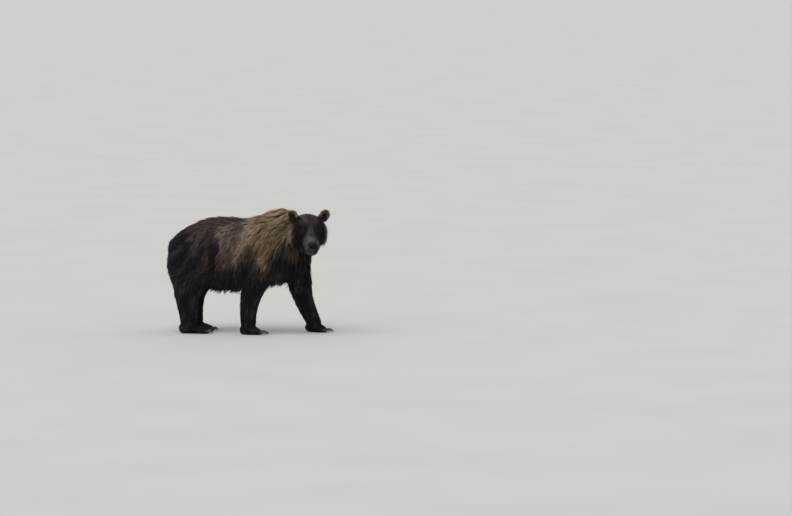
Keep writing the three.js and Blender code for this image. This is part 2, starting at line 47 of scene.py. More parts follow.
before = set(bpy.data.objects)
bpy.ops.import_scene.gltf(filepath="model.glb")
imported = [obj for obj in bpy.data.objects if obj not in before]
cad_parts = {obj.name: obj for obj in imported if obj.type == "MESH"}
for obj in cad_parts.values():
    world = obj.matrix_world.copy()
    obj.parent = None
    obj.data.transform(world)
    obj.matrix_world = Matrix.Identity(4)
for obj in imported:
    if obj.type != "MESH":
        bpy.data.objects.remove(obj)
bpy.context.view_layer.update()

SEED = 7
MM = 0.001
MIDDLE = Vector((36, -59, 0))  # of the figure, in the body's own frame
TO_ROW = Matrix.Scale(MM, 4) @ Matrix.Translation(-MIDDLE)
LENGTHWAYS = Vector((1, 0, 0))
UPWARDS = Vector((0, 0, 1))


def linear(code):
    """An sRGB hex colour as the linear red, green and blue that shaders take."""
    parts = [int(code[i : i + 2], 16) / 255 for i in (1, 3, 5)]
    return tuple(c / 12.92 if c <= 0.04045 else ((c + 0.055) / 1.055) ** 2.4 for c in parts)


def colour_prop(name, description, code):
    return FloatVectorProperty(
        name=name, description=description, subtype="COLOR", size=3, min=0, max=1, default=linear(code)
    )


def size_prop(name, description, default):
    return FloatProperty(name=name, description=description, default=default, min=0)


# ---- What a user would change ----


class BodySizes(bpy.types.PropertyGroup):
    back: size_prop("Back", "Height of the back under the coat, in millimetres", 1054)
    hump: size_prop("Hump", "Height of the shoulder hump, in millimetres", 1150)
    belly: size_prop("Belly", "Height of the belly, in millimetres", 438)
    waist: size_prop("Waist", "Level at which the barrel is widest, in millimetres", 706)
    barrel: size_prop("Barrel", "Half width of the barrel, in millimetres", 222)
    body_grain: size_prop("Body grain", "Size of the faces of the body's skin, in millimetres", 12)
    head_grain: size_prop("Head grain", "Size of the faces of the head's skin, in millimetres", 3.7)
    foot_grain: size_prop("Foot grain", "Size of the faces of the feet's skin, in millimetres", 6)


class HeadSizes(bpy.types.PropertyGroup):
    eye: size_prop("Eye", "Radius of an eyeball, in millimetres", 13.5)
    iris: size_prop("Iris", "Radius of an iris, in millimetres", 8.2)
    pupil: size_prop("Pupil", "Radius of a pupil, in millimetres", 3.4)
    mouth: size_prop("Mouth", "Width of the line between the lips, in millimetres", 2.4)


class CoatSizes(bpy.types.PropertyGroup):
    body: size_prop("Body", "Length of the hair of the barrel, in millimetres", 82)
    mane: size_prop("Mane", "Length of the hair of the hump and neck, in millimetres", 104)
    fringe: size_prop("Fringe", "Length of the hair that hangs from the belly, in millimetres", 120)
    leg: size_prop("Leg", "Length of the hair of the legs, in millimetres", 40)
    paw: size_prop("Paw", "Length of the hair of the paws, in millimetres", 17)
    face: size_prop("Face", "Length of the hair of the forehead, in millimetres", 20)
    muzzle: size_prop("Muzzle", "Length of the hair of the muzzle, in millimetres", 8)
    width: size_prop("Width", "Width of a tuft of the barrel, in millimetres", 5.6)
    tufts: IntProperty(
        name="Tufts", description="Tufts in the whole coat", default=145000, min=1000, max=150000
    )


class CoatColours(bpy.types.PropertyGroup):
    # The roots' near black is partly the hair's own darker base and partly painted shade deep in the coat
    # between the locks.
    dark_root: colour_prop("Dark root", "Legs, rump and face, at the skin", "#0a090a")
    dark_hair: colour_prop("Dark hair", "Legs, rump and face", "#232024")
    # The dark coat's pale grey tips are partly a painted sheen: the sky's grey shine on dark hair.
    dark_tip: colour_prop("Dark tip", "Legs, rump and face, at the tips", "#7a7376")
    brown_root: colour_prop("Brown root", "Barrel, at the skin", "#17120f")
    brown_hair: colour_prop("Brown hair", "Barrel", "#64534a")
    brown_tip: colour_prop("Brown tip", "Barrel, at the tips", "#c0b09c")
    gold_root: colour_prop("Gold root", "Hump and mane, at the skin", "#1e1712")
    gold_hair: colour_prop("Gold hair", "Hump and mane", "#8c745a")
    gold_tip: colour_prop("Gold tip", "Hump and mane, at the tips", "#dcbf97")
    grey_root: colour_prop("Grey root", "Muzzle, at the skin", "#231f1f")
    grey_hair: colour_prop("Grey hair", "Muzzle", "#6b615d")
    grey_tip: colour_prop("Grey tip", "Muzzle, at the tips", "#a79b92")
    leather: colour_prop("Leather", "Nose, lips, rims of the eyes and pads", "#0d0c0e")
    horn: colour_prop("Horn", "Claws", "#2e2621")
    horn_tip: colour_prop("Horn tip", "Claws, at the tips", "#3f372f")
    iris: colour_prop("Iris", "Ring of the eye round the pupil", "#2e1a0e")


class StudioSettings(bpy.types.PropertyGroup):
    azimuth: FloatProperty(
        name="Azimuth",
        description="Direction of the camera from the bear's right side, towards its head",
        subtype="ANGLE",
        default=math.radians(10),
    )
    elevation: FloatProperty(
        name="Elevation",
        description="Height of the camera above the horizon",
        subtype="ANGLE",
        default=math.radians(4.4),
    )
    distance: FloatProperty(
        name="Distance", description="From the camera to the bear", unit="LENGTH", default=40.0
    )
    view_width: FloatProperty(
        name="View width", description="Width of what the camera sees there", unit="LENGTH", default=7.366
    )
    floor: colour_prop("Floor", "Painted floor", "#c9c5bd")
    sky: colour_prop("Sky", "Soft light from all round", "#e4eaf2")
    sky_strength: FloatProperty(name="Sky strength", description="Of the soft light", default=0.85)
    key_strength: FloatProperty(name="Key strength", description="Of the wide lamp above", default=1.5)


# ---- Stations of the body, as [x, y, z, half width, rise towards up, drop away from it] ----

RUMP_X = -700
CHEST_X = 596
LEG_Y = 178
HIND_Y = 152
FAR_HIND_STEP = -14
PAW_TOP = 95

HEAD_AT = Vector((648, -217, 964))
HEAD_TURN = Euler((0, math.radians(25), math.radians(-66.5)), "XYZ")
HEAD_PLACE = Matrix.Translation(HEAD_AT) @ HEAD_TURN.to_matrix().to_4x4()
HEAD_BACK = -150
EYE = Vector((48, 57, 25))
GAZE = math.radians(26)
NOSE = {"x": 223, "z": -20, "depth": 19, "width": 37, "height": 30}
EAR = {"x": -80, "y": 150, "z": 127, "depth": 27, "width": 52, "height": 58}
MOUTH_CORNER = 62


def trunk(sizes):
    back, hump, belly = sizes.back, sizes.hump, sizes.belly
    waist, barrel = sizes.waist, sizes.barrel
    return [
        [RUMP_X, 0, 720, 0.3 * barrel, 84, 80],
        [RUMP_X + 46, 0, 720, 0.64 * barrel, 146, 160],
        [RUMP_X + 150, 0, 720, 0.86 * barrel, 238, 220],
        [-400, 0, waist + 4, 0.95 * barrel, back - waist - 24, 240],
        [-200, 0, waist, barrel, back - waist + 4, waist - belly],
        [30, 0, waist, barrel, back - waist - 6, waist - belly],
        [220, 0, waist + 10, 0.95 * barrel, hump - waist - 76, 230],
        [370, 0, waist + 40, 0.86 * barrel, hump - waist - 60, 238],
        [500, 0, waist + 60, 0.7 * barrel, 290, 205],
        [CHEST_X, 0, waist + 60, 0.36 * barrel, 150, 120],
    ]


def hump_ridge(sizes):
    return [
        [130, 0, 960, 50, 60, 60],
        [230, 0, 970, 92, 94, 90],
        [345, 0, 975, 108, sizes.hump - 988, 100],
        [425, 0, 970, 100, sizes.hump - 988, 95],
        [500, 0, 955, 64, 76, 70],
    ]


SHOULDER_BACK = [
    [378, 88, 1010, 38, 62, 62],
    [388, 126, 905, 66, 120, 118],
    [370, 152, 780, 84, 142, 142],
    [292, 168, 665, 88, 128, 138],
    [222, 172, 585, 80, 104, 118],
    [186, 170, 538, 52, 66, 78],
]
SHOULDER_FORWARD = [
    [392, 88, 1010, 38, 62, 62],
    [412, 126, 905, 66, 118, 118],
    [432, 152, 790, 84, 132, 142],
    [452, 168, 685, 86, 118, 138],
    [464, 172, 600, 80, 98, 118],
    [470, 172, 552, 52, 64, 78],
]
FORELEG_BACK = [
    [262, LEG_Y - 4, 640, 74, 96, 104],
    [186, LEG_Y, 540, 76, 98, 102],
    [130, LEG_Y, 440, 72, 88, 94],
    [92, LEG_Y, 320, 66, 78, 82],
    [72, LEG_Y - 2, 200, 58, 66, 70],
    [68, LEG_Y - 4, 90, 57, 62, 64],
    [68, LEG_Y - 4, 60, 57, 62, 64],
]
FORELEG_FORWARD = [
    [452, LEG_Y - 2, 650, 74, 92, 104],
    [474, LEG_Y + 2, 550, 76, 94, 102],
    [494, LEG_Y + 6, 440, 72, 86, 94],
    [520, LEG_Y + 12, 320, 66, 77, 82],
    [566, LEG_Y + 16, 200, 58, 65, 70],
    [612, LEG_Y + 18, 90, 57, 61, 64],
    [624, LEG_Y + 18, 60, 57, 61, 64],
]
HAUNCH = [
    [-462, 66, 905, 50, 84, 88],
    [-478, 116, 822, 84, 182, 172],
    [-484, 144, 705, 98, 212, 198],
    [-490, 154, 590, 97, 188, 190],
    [-492, 156, 500, 88, 154, 156],
    [-490, 155, 436, 58, 96, 98],
]
HIND_LEG = [
    [-492, HIND_Y + 2, 560, 82, 156, 162],
    [-492, HIND_Y + 2, 455, 80, 136, 144],
    [-508, HIND_Y, 350, 68, 106, 110],
    [-506, HIND_Y - 2, 260, 61, 84, 92],
    [-502, HIND_Y - 2, 185, 58, 72, 80],
    [-500, HIND_Y - 3, 90, 58, 72, 77],
    [-500, HIND_Y - 3, 60, 58, 72, 77],
]
FAR_HIND_LEG = [[x + FAR_HIND_STEP, *rest] for x, *rest in HIND_LEG]
LEGS = {
    "foreleg_right": {"mass": SHOULDER_BACK, "line": FORELEG_BACK, "side": -1, "fore": True, "toe": 6},
    "foreleg_left": {"mass": SHOULDER_FORWARD, "line": FORELEG_FORWARD, "side": 1, "fore": True, "toe": -14},
    "hindleg_right": {"mass": HAUNCH, "line": HIND_LEG, "side": -1, "fore": False, "toe": 3},
    "hindleg_left": {"mass": HAUNCH, "line": FAR_HIND_LEG, "side": 1, "fore": False, "toe": -4},
}
TAIL = [
    [-632, 0, 868, 24, 22, 22],
    [-674, 0, 838, 25, 21, 21],
    [-702, 0, 796, 24, 18, 18],
    [-718, 0, 757, 17, 12, 12],
    [-723, 0, 736, 5, 4, 4],
]

# In the head's own frame, +X along the muzzle.
SKULL = [
    [HEAD_BACK, 0, -15, 126, 98, 122],
    [-95, 0, -5, 152, 126, 142],
    [-30, 0, -5, 148, 120, 138],
    [22, 0, -20, 114, 90, 108],
    [56, 0, -36, 83, 78, 86],
    [92, 0, -47, 73, 74, 70],
    [140, 0, -55, 71, 71, 60],
    [190, 0, -59, 69, 66, 52],
    [222, 0, -59, 53, 52, 40],
]
JAW = [
    [-20, 0, -112, 98, 40, 44],
    [60, 0, -108, 70, 36, 44],
    [120, 0, -105, 60, 32, 40],
    [175, 0, -104, 58, 30, 38],
    [203, 0, -101, 48, 24, 33],
    [217, 0, -97, 30, 13, 18],
]
LIP = [
    [MOUTH_CORNER - 12, 66, -78, 8, 10, 10],
    [110, 55, -92, 8, 9, 9],
    [165, 47, -88, 8, 9, 9],
    [208, 27, -83, 8, 9, 9],
    [221, 5, -81, 7, 8, 8],
]
# How far aside of the middle the inside of the mouth is closed, from behind its corner to the front.
MOUTH_INSIDE = [(MOUTH_CORNER - 20, 57), (120, 48), (180, 46), (203, 41), (216, 31), (224, 19), (228, 8)]
# The line between the lips, as [x, z].
MOUTH_LINE = [
    [MOUTH_CORNER, -82],
    [86, -93],
    [110, -98],
    [140, -98],
    [170, -95],
    [200, -91],
    [260, -84],
]
BEYOND_CHEEKS = 120  # how far aside the cut of the mouth reaches
# The almond between the lids, as [aside, up] of the gaze, its inner corner the lower one.
LID_EDGE = [[-15, -6.5], [-10, 3], [-3, 7.6], [4, 8.6], [10, 6.2], [13.2, 1.5]]
LID_EDGE += [[10, -4], [4, -6.8], [-3, -7.6], [-9, -7.6], [-15, -6.5]]
# The wall of an ear, as [place along the ear's axis, radius], from its back round the rim to the inside.
EAR_RADIUS = 52
EAR_WALL = [[-22, 0], [-21, 22], [-14, 40], [-2, 50], [9, EAR_RADIUS], [14, 48], [11, 43], [2, 38]]
EAR_WALL += [[-8, 26], [-11, 0]]
HOLLOW_REACH = 52  # how far from the middle of an eye the skin is smoothed
EYE_GAP = 0.4  # between an eyeball and its socket

NECK_ROOT = [
    [320, 0, 880, 174, 196, 240],
    [430, 4, 900, 172, 200, 225],
    [520, 6, 915, 158, 180, 205],
    [592, 8, 925, 112, 128, 150],
]
NECK_TURN = [
    [418, 78, 888, 104, 120, 130],
    [490, 38, 915, 152, 156, 190],
    [560, -20, 945, 158, 140, 190],
    [622, -92, 962, 118, 104, 142],
]
NECK_BACK_IN_HEAD = [
    [-278, 28, -92, 92, 88, 104],
    [-215, 10, -60, 138, 100, 158],
    [-160, 0, -32, 140, 98, 150],
    [-90, 0, -15, 130, 98, 135],
]
NECK_BACK = [[*(HEAD_PLACE @ Vector(row[:3])), *row[3:]] for row in NECK_BACK_IN_HEAD]

# Paws, each in its own frame, +X towards the toes and the sole at z = 0.
PAWS = {
    "fore": {
        "ankle": (70, 66),
        "sole": [
            [-76, 0, 46, 34, 26, 26],
            [-54, 0, 44, 56, 42, 40],
            [0, 0, 44, 68, 48, 50],
            [50, 0, 36, 72, 40, 43],
            [92, 0, 26, 68, 27, 30],
        ],
        "toe_x": 98,
        "toe": (34, 16, 23),
        "claw": 62,
    },
    "hind": {
        "ankle": (82, 66),
        "sole": [
            [-90, 0, 42, 34, 28, 30],
            [-62, 0, 46, 54, 46, 50],
            [0, 0, 46, 60, 46, 52],
            [80, 0, 36, 64, 36, 42],
            [150, 0, 25, 64, 24, 28],
        ],
        "toe_x": 158,
        "toe": (32, 15, 21),
        "claw": 36,
    },
}
TOES = (-2, -1, 0, 1, 2)
PAW_COAT = 4  # how far the skin of a paw lies inside its coat
SHIN_COAT = 8  # the same at the ends of a shin
SHIN_TOP = 360
SHARP = math.radians(50)


# ---- Shapes ----


def smooth_at(stations, t):
    """The row at t, from 0 to 1, of a smooth line through the stations."""
    rows = np.array(stations, float)
    rows = np.vstack([2 * rows[0] - rows[1], rows, 2 * rows[-1] - rows[-2]])
    spot = min(t, 1 - 1e-9) * (len(stations) - 1)
    i = int(spot)
    f = spot - i
    before, start, end, after = rows[i : i + 4]
    leave, arrive = (end - before) / 2, (after - start) / 2
    bend = 3 * (end - start) - 2 * leave - arrive
    turn = 2 * (start - end) + leave + arrive
    return start + f * (leave + f * (bend + f * turn))


def smooth_line(points, steps):
    return [smooth_at(points, i / steps) for i in range(steps + 1)]


def ring(bm, place, half, high, low, sides):
    """An egg-shaped ring of edges, flat in the plane of place."""
    verts = bmesh.ops.create_circle(bm, radius=1, segments=sides)["verts"]
    for v in verts:
        v.co.x *= half
        v.co.y *= high if v.co.y > 0 else low
    bmesh.ops.transform(bm, matrix=place, verts=verts)
    return list({edge for v in verts for edge in v.link_edges})


def loft(bm, stations, up, sides=36, steps=24, grow=0.0):
    """A body or limb: egg-shaped rings bridged along a smooth line through the stations."""
    nudge = 1e-3
    rings = []
    for i in range(steps + 1):
        t = i / steps
        here = smooth_at(stations, t)
        ahead = smooth_at(stations, min(t + nudge, 1))
        behind = smooth_at(stations, max(t - nudge, 0))
        along = Vector(ahead[:3] - behind[:3]).normalized()
        rise = (up - up.project(along)).normalized()
        place = Matrix((along.cross(rise), rise, along)).transposed().to_4x4()
        place.translation = Vector(here[:3])
        rings.append(ring(bm, place, *(here[3:] + grow), sides))
    for a, b in zip(rings, rings[1:]):
        bmesh.ops.bridge_loops(bm, edges=a + b)
    for end in (rings[0], rings[-1]):
        bmesh.ops.contextual_create(bm, geom=end)


def ball(bm, centre, radii, turn=(0, 0, 0), place=Matrix(), round_=32):
    """An ellipsoid; turn is an Euler angle about its centre."""
    at = place @ Matrix.LocRotScale(Vector(centre), Euler(turn), Vector(radii))
    bmesh.ops.create_uvsphere(bm, u_segments=round_, v_segments=round_ // 2, radius=1, matrix=at)


def sided(stations, side):
    """Stations of the left side, or with -1 the same on the right."""
    return [[x, side * y, *rest] for x, y, *rest in stations]


def mesh_of(bm, name, matrix=None):
    """The mesh made from bm, its faces pointing outwards, moved by the matrix; bm is freed."""
    bmesh.ops.recalc_face_normals(bm, faces=bm.faces)
    if matrix:
        bm.transform(matrix)
    mesh = bpy.data.meshes.new(name)
    bm.to_mesh(mesh)
    bm.free()
    return mesh


def object_of(mesh, name):
    made = bpy.data.objects.new(name, mesh)
    bpy.context.scene.collection.objects.link(made)
    return made


def applied(made, name):
    """The object's mesh with its modifiers applied; the object is removed."""
    graph = bpy.context.evaluated_depsgraph_get()
    mesh = bpy.data.meshes.new_from_object(made.evaluated_get(graph))
    mesh.name = name
    bpy.data.objects.remove(made)
    return mesh


def melted(bm, name, grain):
    """The closed shells of bm melted into one skin with faces as large as the grain."""
    made = object_of(mesh_of(bm, name), name)
    melt = made.modifiers.new("Melt", "REMESH")
    melt.mode = "VOXEL"
    melt.voxel_size = grain
    return applied(made, name)


def combined(base, others, operation, name):
    """Meshes joined to, or cut from, the base mesh."""
    made = object_of(base, name)
    tools = [object_of(mesh, mesh.name) for mesh in others]
    for tool in tools:
        step = made.modifiers.new("Step", "BOOLEAN")
        step.operation = operation
        step.solver = "MANIFOLD"
        step.object = tool
    mesh = applied(made, name)
    for tool in tools:
        bpy.data.objects.remove(tool)
    return mesh


def relaxed(mesh, rounds, keep=None):
    """The mesh with its steps smoothed out, but for the vertices that keep names."""
    bm = bmesh.new()
    bm.from_mesh(mesh)
    verts = [v for v in bm.verts if keep is None or not keep(v.co)]
    for _ in range(rounds):
        bmesh.ops.smooth_vert(bm, verts=verts, factor=0.5, use_axis_x=True, use_axis_y=True, use_axis_z=True)
    bm.to_mesh(mesh)
    bm.free()
    return mesh


def drawn_out(bm, faces, along):
    """Flat faces made into a block that reaches as far as the way along."""
    made = bmesh.ops.extrude_face_region(bm, geom=faces)["geom"]
    far = [v for v in made if isinstance(v, bmesh.types.BMVert)]
    bmesh.ops.translate(bm, vec=along, verts=far)


def prism(name, outline, along):
    """A block: a flat outline drawn out."""
    bm = bmesh.new()
    drawn_out(bm, [bm.faces.new([bm.verts.new(p) for p in outline])], along)
    return mesh_of(bm, name)


def both(make):
    """Whatever make does, on the right side and on the left."""
    for side in (-1, 1):
        make(side)


# ---- The skin ----


def eye_place(side):
    """The eyeball's own frame, +X along the gaze."""
    centre = Matrix.Translation((EYE.x, side * EYE.y, EYE.z))
    return centre @ Matrix.Rotation(side * GAZE, 4, "Z")


def head_shell(sizes):
    """Skull, cheeks, brows and lips, hollowed round the eyes, in the head's own frame."""
    bm = bmesh.new()
    loft(bm, SKULL, UPWARDS, sides=48, steps=36)
    loft(bm, JAW, UPWARDS, sides=36, steps=24)
    both(lambda side: ball(bm, (-58, side * 80, -50), (104, 84, 102)))
    both(lambda side: ball(bm, (8, side * 55, 54), (34, 33, 16), turn=(0, 0.62, 0)))
    both(lambda side: loft(bm, sided(LIP, side), UPWARDS, sides=16, steps=20))
    shell = relaxed(melted(bm, "head shell", sizes.head_grain), 3)
    mesh = combined(shell, [eye_hollow(side) for side in (-1, 1)], "DIFFERENCE", "head shell")
    eyes = [eye_place(side).translation for side in (-1, 1)]
    mesh = relaxed(mesh, 6, lambda spot: min((spot - eye).length for eye in eyes) > HOLLOW_REACH)
    return combined(mesh, [lid_ball(side) for side in (-1, 1)], "UNION", "head shell")


def eye_hollow(side):
    """What the shallow hollow round an eye takes from the head."""
    bm = bmesh.new()
    ball(bm, (59, 0, 1), (48, 42, 31), place=eye_place(side), round_=48)
    return mesh_of(bm, "eye hollow")


def lid_ball(side):
    """The roundness of the closed lids over an eyeball, with the fold at its inner corner."""
    bm = bmesh.new()
    ball(bm, (0, 0, 0), (16.2, 17.2, 16), place=eye_place(side), round_=40)
    ball(bm, (3, side * -14, -6), (9, 9, 5), turn=(0, 0, side * 0.5), place=eye_place(side), round_=24)
    return melted(bm, "lid ball", 1.5)


def lid_opening(side):
    """What is cut between the lids."""
    bm = bmesh.new()
    verts = [bm.verts.new((0, side * y, z)) for y, z in smooth_line(LID_EDGE, 40)[:-1]]
    drawn_out(bm, bmesh.ops.contextual_create(bm, geom=verts)["faces"], (40, 0, 0))
    return mesh_of(bm, "lid opening", eye_place(side))


def eye_socket(side, radius):
    bm = bmesh.new()
    ball(bm, (0, 0, 0), (radius,) * 3, place=eye_place(side))
    return mesh_of(bm, "eye socket")


def mouth_slit(width):
    """A thin sheet along the line of the mouth, but for the closed inside of the mouth."""
    half, side, line = width / 2, BEYOND_CHEEKS, smooth_line(MOUTH_LINE, 24)
    outline = [(x, -side, z + half) for x, z in line] + [(x, -side, z - half) for x, z in reversed(line)]
    sheet = prism("mouth slit", outline, (0, 2 * side, 0))
    inside = [(x, y, -140) for x, y in MOUTH_INSIDE] + [(x, -y, -140) for x, y in reversed(MOUTH_INSIDE)]
    return combined(sheet, [prism("mouth inside", inside, (0, 0, 100))], "DIFFERENCE", "mouth slit")


def head_skin(sizes, head):
    shell = head_shell(sizes)
    cuts = [mouth_slit(head.mouth)]
    for side in (-1, 1):
        cuts += [eye_socket(side, head.eye + EYE_GAP), lid_opening(side)]
    mesh = combined(shell, cuts, "DIFFERENCE", "head skin")
    mesh.transform(HEAD_PLACE)
    return mesh


def ear_place(side):
    """An ear's own frame in the head's, +X out of its open side."""
    turn = Euler((side * -0.42, -0.1, side * 0.3), "XYZ")
    return Matrix.Translation((EAR["x"], side * EAR["y"], EAR["z"])) @ turn.to_matrix().to_4x4()


def ear_skin(side, sizes):
    """A round cup, open forwards: its wall's profile is spun round the ear's axis."""
    bm = bmesh.new()
    profile = [bm.verts.new((x, max(radius, 0), 0)) for x, radius in smooth_line(EAR_WALL, 30)]
    edges = [bm.edges.new(pair) for pair in zip(profile, profile[1:])]
    bmesh.ops.spin(
        bm, geom=profile + edges, cent=(0, 0, 0), axis=(1, 0, 0), angle=2 * math.pi, steps=40, use_merge=True
    )
    bmesh.ops.remove_doubles(bm, verts=bm.verts, dist=0.01)
    for v in bm.verts:
        v.co.y *= EAR["width"] / EAR_RADIUS
        v.co.z *= EAR["height"] / EAR_RADIUS
    bmesh.ops.scale(bm, vec=(1, 0.93, 0.93), verts=bm.verts)
    ball(bm, (-15, 0, -30), (22, 40, 36))
    bm.transform(HEAD_PLACE @ ear_place(side))
    return relaxed(melted(bm, "ear skin", sizes.head_grain), 2)


def paw_place(leg):
    """A paw's own frame, +X towards its toes, at the foot of its leg."""
    x, y = leg["line"][-2][:2]
    centre = Matrix.Translation((x + 2, leg["side"] * y, 0))
    return centre @ Matrix.Rotation(math.radians(leg["toe"]), 4, "Z")


def toe_at(kind, n):
    """Where toe n stands, and how far it turns out; the outer ones stand back."""
    return kind["toe_x"] - 5 * n * n, n * 28, math.radians(5 * n)


def foot_skin(leg, sizes):
    """A paw and the shin above it, flat where it stands on the floor."""
    kind = PAWS["fore" if leg["fore"] else "hind"]
    top, *shin = [row for row in leg["line"] if row[2] < SHIN_TOP]
    shin = [[*top[:3], *(size - SHIN_COAT for size in top[3:])], *shin]
    bm = bmesh.new()
    long, wide = (size - SHIN_COAT for size in kind["ankle"])
    at = Matrix.Translation((-2, 0, (PAW_TOP + 20) / 2)) @ Matrix.Diagonal((long, wide, 1, 1))
    bmesh.ops.create_cone(
        bm, cap_ends=True, segments=32, radius1=1, radius2=0.93, depth=PAW_TOP - 20, matrix=at
    )
    loft(bm, kind["sole"], UPWARDS, sides=36, steps=16, grow=-PAW_COAT)
    for n in TOES:
        x, y, turn = toe_at(kind, n)
        radii = [radius - PAW_COAT + 1 for radius in kind["toe"]]
        ball(bm, (x, y, kind["toe"][2] - 3), radii, turn=(0, 0, turn))
    bm.transform(paw_place(leg))
    loft(bm, sided(shin, leg["side"]), LENGTHWAYS, sides=32, steps=16)
    mesh = relaxed(melted(bm, "foot skin", sizes.foot_grain), 2)
    for v in mesh.vertices:
        v.co.z = max(v.co.z, 0)
    return mesh


def body_skin(sizes):
    bm = bmesh.new()
    loft(bm, trunk(sizes), UPWARDS, sides=48, steps=40)
    loft(bm, hump_ridge(sizes), UPWARDS, steps=16)
    for leg in LEGS.values():
        loft(bm, sided(leg["mass"], leg["side"]), LENGTHWAYS, sides=32, steps=16)
        loft(bm, sided(leg["line"][:-2], leg["side"]), LENGTHWAYS, sides=32, steps=16, grow=-1)
    for part in (NECK_ROOT, NECK_TURN, NECK_BACK):
        loft(bm, part, UPWARDS, steps=14)
    loft(bm, TAIL, LENGTHWAYS, sides=20, steps=12)
    return relaxed(melted(bm, "body skin", sizes.body_grain), 4)


def unwrap(made):
    """Lays the skin out flat, so that each place on it has its own place in the map."""
    made.data.uv_layers.new(name="OFBake")
    bpy.context.view_layer.objects.active = made
    made.select_set(True)
    bpy.ops.object.mode_set(mode="EDIT")
    bpy.ops.mesh.select_all(action="SELECT")
    bpy.ops.uv.smart_project(angle_limit=math.radians(70), island_margin=0.001)
    bpy.ops.object.mode_set(mode="OBJECT")
    made.select_set(False)


FLESH = [
    "torso",
    "neck",
    "tail",
    "head",
    "jaw",
    "ear_right",
    "ear_left",
    *(f"{leg}_{part}" for leg in LEGS for part in ("upper", "lower")),
    *(leg.replace("leg", "paw") for leg in LEGS),
]


class BEAR_OT_skin(bpy.types.Operator):
    """Model the skin of the whole bear as one surface, with its lids, lips and ears"""

    bl_idname = "bear.skin"
    bl_label = "Skin"

    def execute(self, context):
        sizes, head = context.scene.bear_body, context.scene.bear_head
        parts = [head_skin(sizes, head)]
        parts += [ear_skin(side, sizes) for side in (-1, 1)]
        parts += [foot_skin(leg, sizes) for leg in LEGS.values()]
        mesh = combined(body_skin(sizes), parts, "UNION", "skin")
        mesh.transform(TO_ROW)
        mesh.shade_smooth()
        mesh.set_sharp_from_angle(angle=SHARP)
        made = object_of(mesh, "skin")
        unwrap(made)
        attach(made, "root")
        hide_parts(*FLESH)
        return {"FINISHED"}


# ---- Eyes, nose and claws ----


def add_node(tree, kind, inputs=None, links=None, **settings):
    """A node with its settings, its inputs' own values and the sockets that feed them."""
    made = tree.nodes.new(kind)
    for name, value in settings.items():
        setattr(made, name, value)
    for name, value in (inputs or {}).items():
        made.inputs[name].default_value = value
    for name, socket in (links or {}).items():
        tree.links.new(socket, made.inputs[name])
    return made


def new_material(name, **inputs):
    """A material and its shader, with the values that are the same all over the surface."""
    material = bpy.data.materials.new(name)
    material.use_nodes = True
    shader = material.node_tree.nodes["Principled BSDF"]
    for socket, value in inputs.items():
        shader.inputs[socket.replace("_", " ")].default_value = value
    return material, material.node_tree, shader


def opaque(colour):
    return (*colour, 1)


def ramp(tree, source, stops, **settings):
    """Colours or values along a source that runs from 0 to 1."""
    made = add_node(tree, "ShaderNodeValToRGB", links={"Fac": source})
    line = made.color_ramp
    for name, value in settings.items():
        setattr(line, name, value)
    for i, (place, colour) in enumerate(stops):
        stop = line.elements[i] if i < 2 else line.elements.new(place)
        stop.position = place
        stop.color = opaque(colour)
    return made.outputs["Color"]


def attribute(tree, name):
    return add_node(tree, "ShaderNodeAttribute", attribute_name=name).outputs["Fac"]


def bumped(tree, shader, height, distance, strength=1.0):
    """Fine relief, its depth in metres."""
    links = {"Height": height}
    relief = add_node(tree, "ShaderNodeBump", {"Distance": distance, "Strength": strength}, links)
    tree.links.new(relief.outputs["Normal"], shader.inputs["Normal"])


def noise(tree, size, **inputs):
    """Noise in the object's own coordinates, its patches as large as the size, in metres."""
    place = add_node(tree, "ShaderNodeTexCoord").outputs["Object"]
    values = {"Scale": 1 / size, **inputs}
    return add_node(tree, "ShaderNodeTexNoise", values, {"Vector": place}).outputs["Fac"]


def eye_material(colours, head):
    # Wet cornea over a dark brown iris: a small soft highlight on a nearly black ball.
    material, tree, shader = new_material(
        "wet eye", Roughness=0.3, IOR=1.38, Specular_IOR_Level=0.25, Coat_Weight=0.12, Coat_Roughness=0.03
    )
    across = attribute(tree, "from_pupil")
    black, edge, pupil = (0.002, 0.002, 0.002), head.iris / head.eye, head.pupil / head.eye
    stops = [
        (0, black),
        (pupil, black),
        (pupil + 0.04, colours.iris),
        (edge - 0.08, colours.iris),
        (edge, linear("#140c08")),
        (edge + 0.06, linear("#2c1e18")),
    ]
    tree.links.new(ramp(tree, across, stops), shader.inputs["Base Color"])
    return material


def leather_material(colours):
    # Bare skin of the nose: damp, black with a soft shine, and pebbled every 2 mm or so.
    material, tree, shader = new_material("nose leather", Roughness=0.5, IOR=1.45, Specular_IOR_Level=0.25)
    shade = noise(tree, 0.006, Detail=3.0)
    stops = [(0.3, [c * 0.6 for c in colours.leather]), (0.7, [c * 1.5 for c in colours.leather])]
    tree.links.new(ramp(tree, shade, stops), shader.inputs["Base Color"])
    place = add_node(tree, "ShaderNodeTexCoord").outputs["Object"]
    pebbles = add_node(
        tree, "ShaderNodeTexVoronoi", {"Scale": 1 / 0.0022}, {"Vector": place}, feature="DISTANCE_TO_EDGE"
    )
    bumped(tree, shader, pebbles.outputs["Distance"], 0.0006, 0.6)
    return material


def claw_material(colours):
    # Keratin grown in long layers: dark horn, scratched a little paler and duller towards the tip.
    material, tree, shader = new_material("keratin horn", Roughness=0.45, IOR=1.54)
    along = attribute(tree, "along")
    streaks = noise(tree, 0.003, Detail=4.0)
    worn = add_node(tree, "ShaderNodeMath", None, {0: streaks, 1: along, 2: along}, operation="MULTIPLY_ADD")
    scaled = add_node(tree, "ShaderNodeMath", {1: 0.7}, {0: worn.outputs[0]}, operation="MULTIPLY")
    stops = [(0.18, colours.horn), (0.7, [c * 2.2 for c in colours.horn]), (0.95, colours.horn_tip)]
    tree.links.new(ramp(tree, scaled.outputs[0], stops), shader.inputs["Base Color"])
    bumped(tree, shader, streaks, 0.0005, 0.4)
    return material


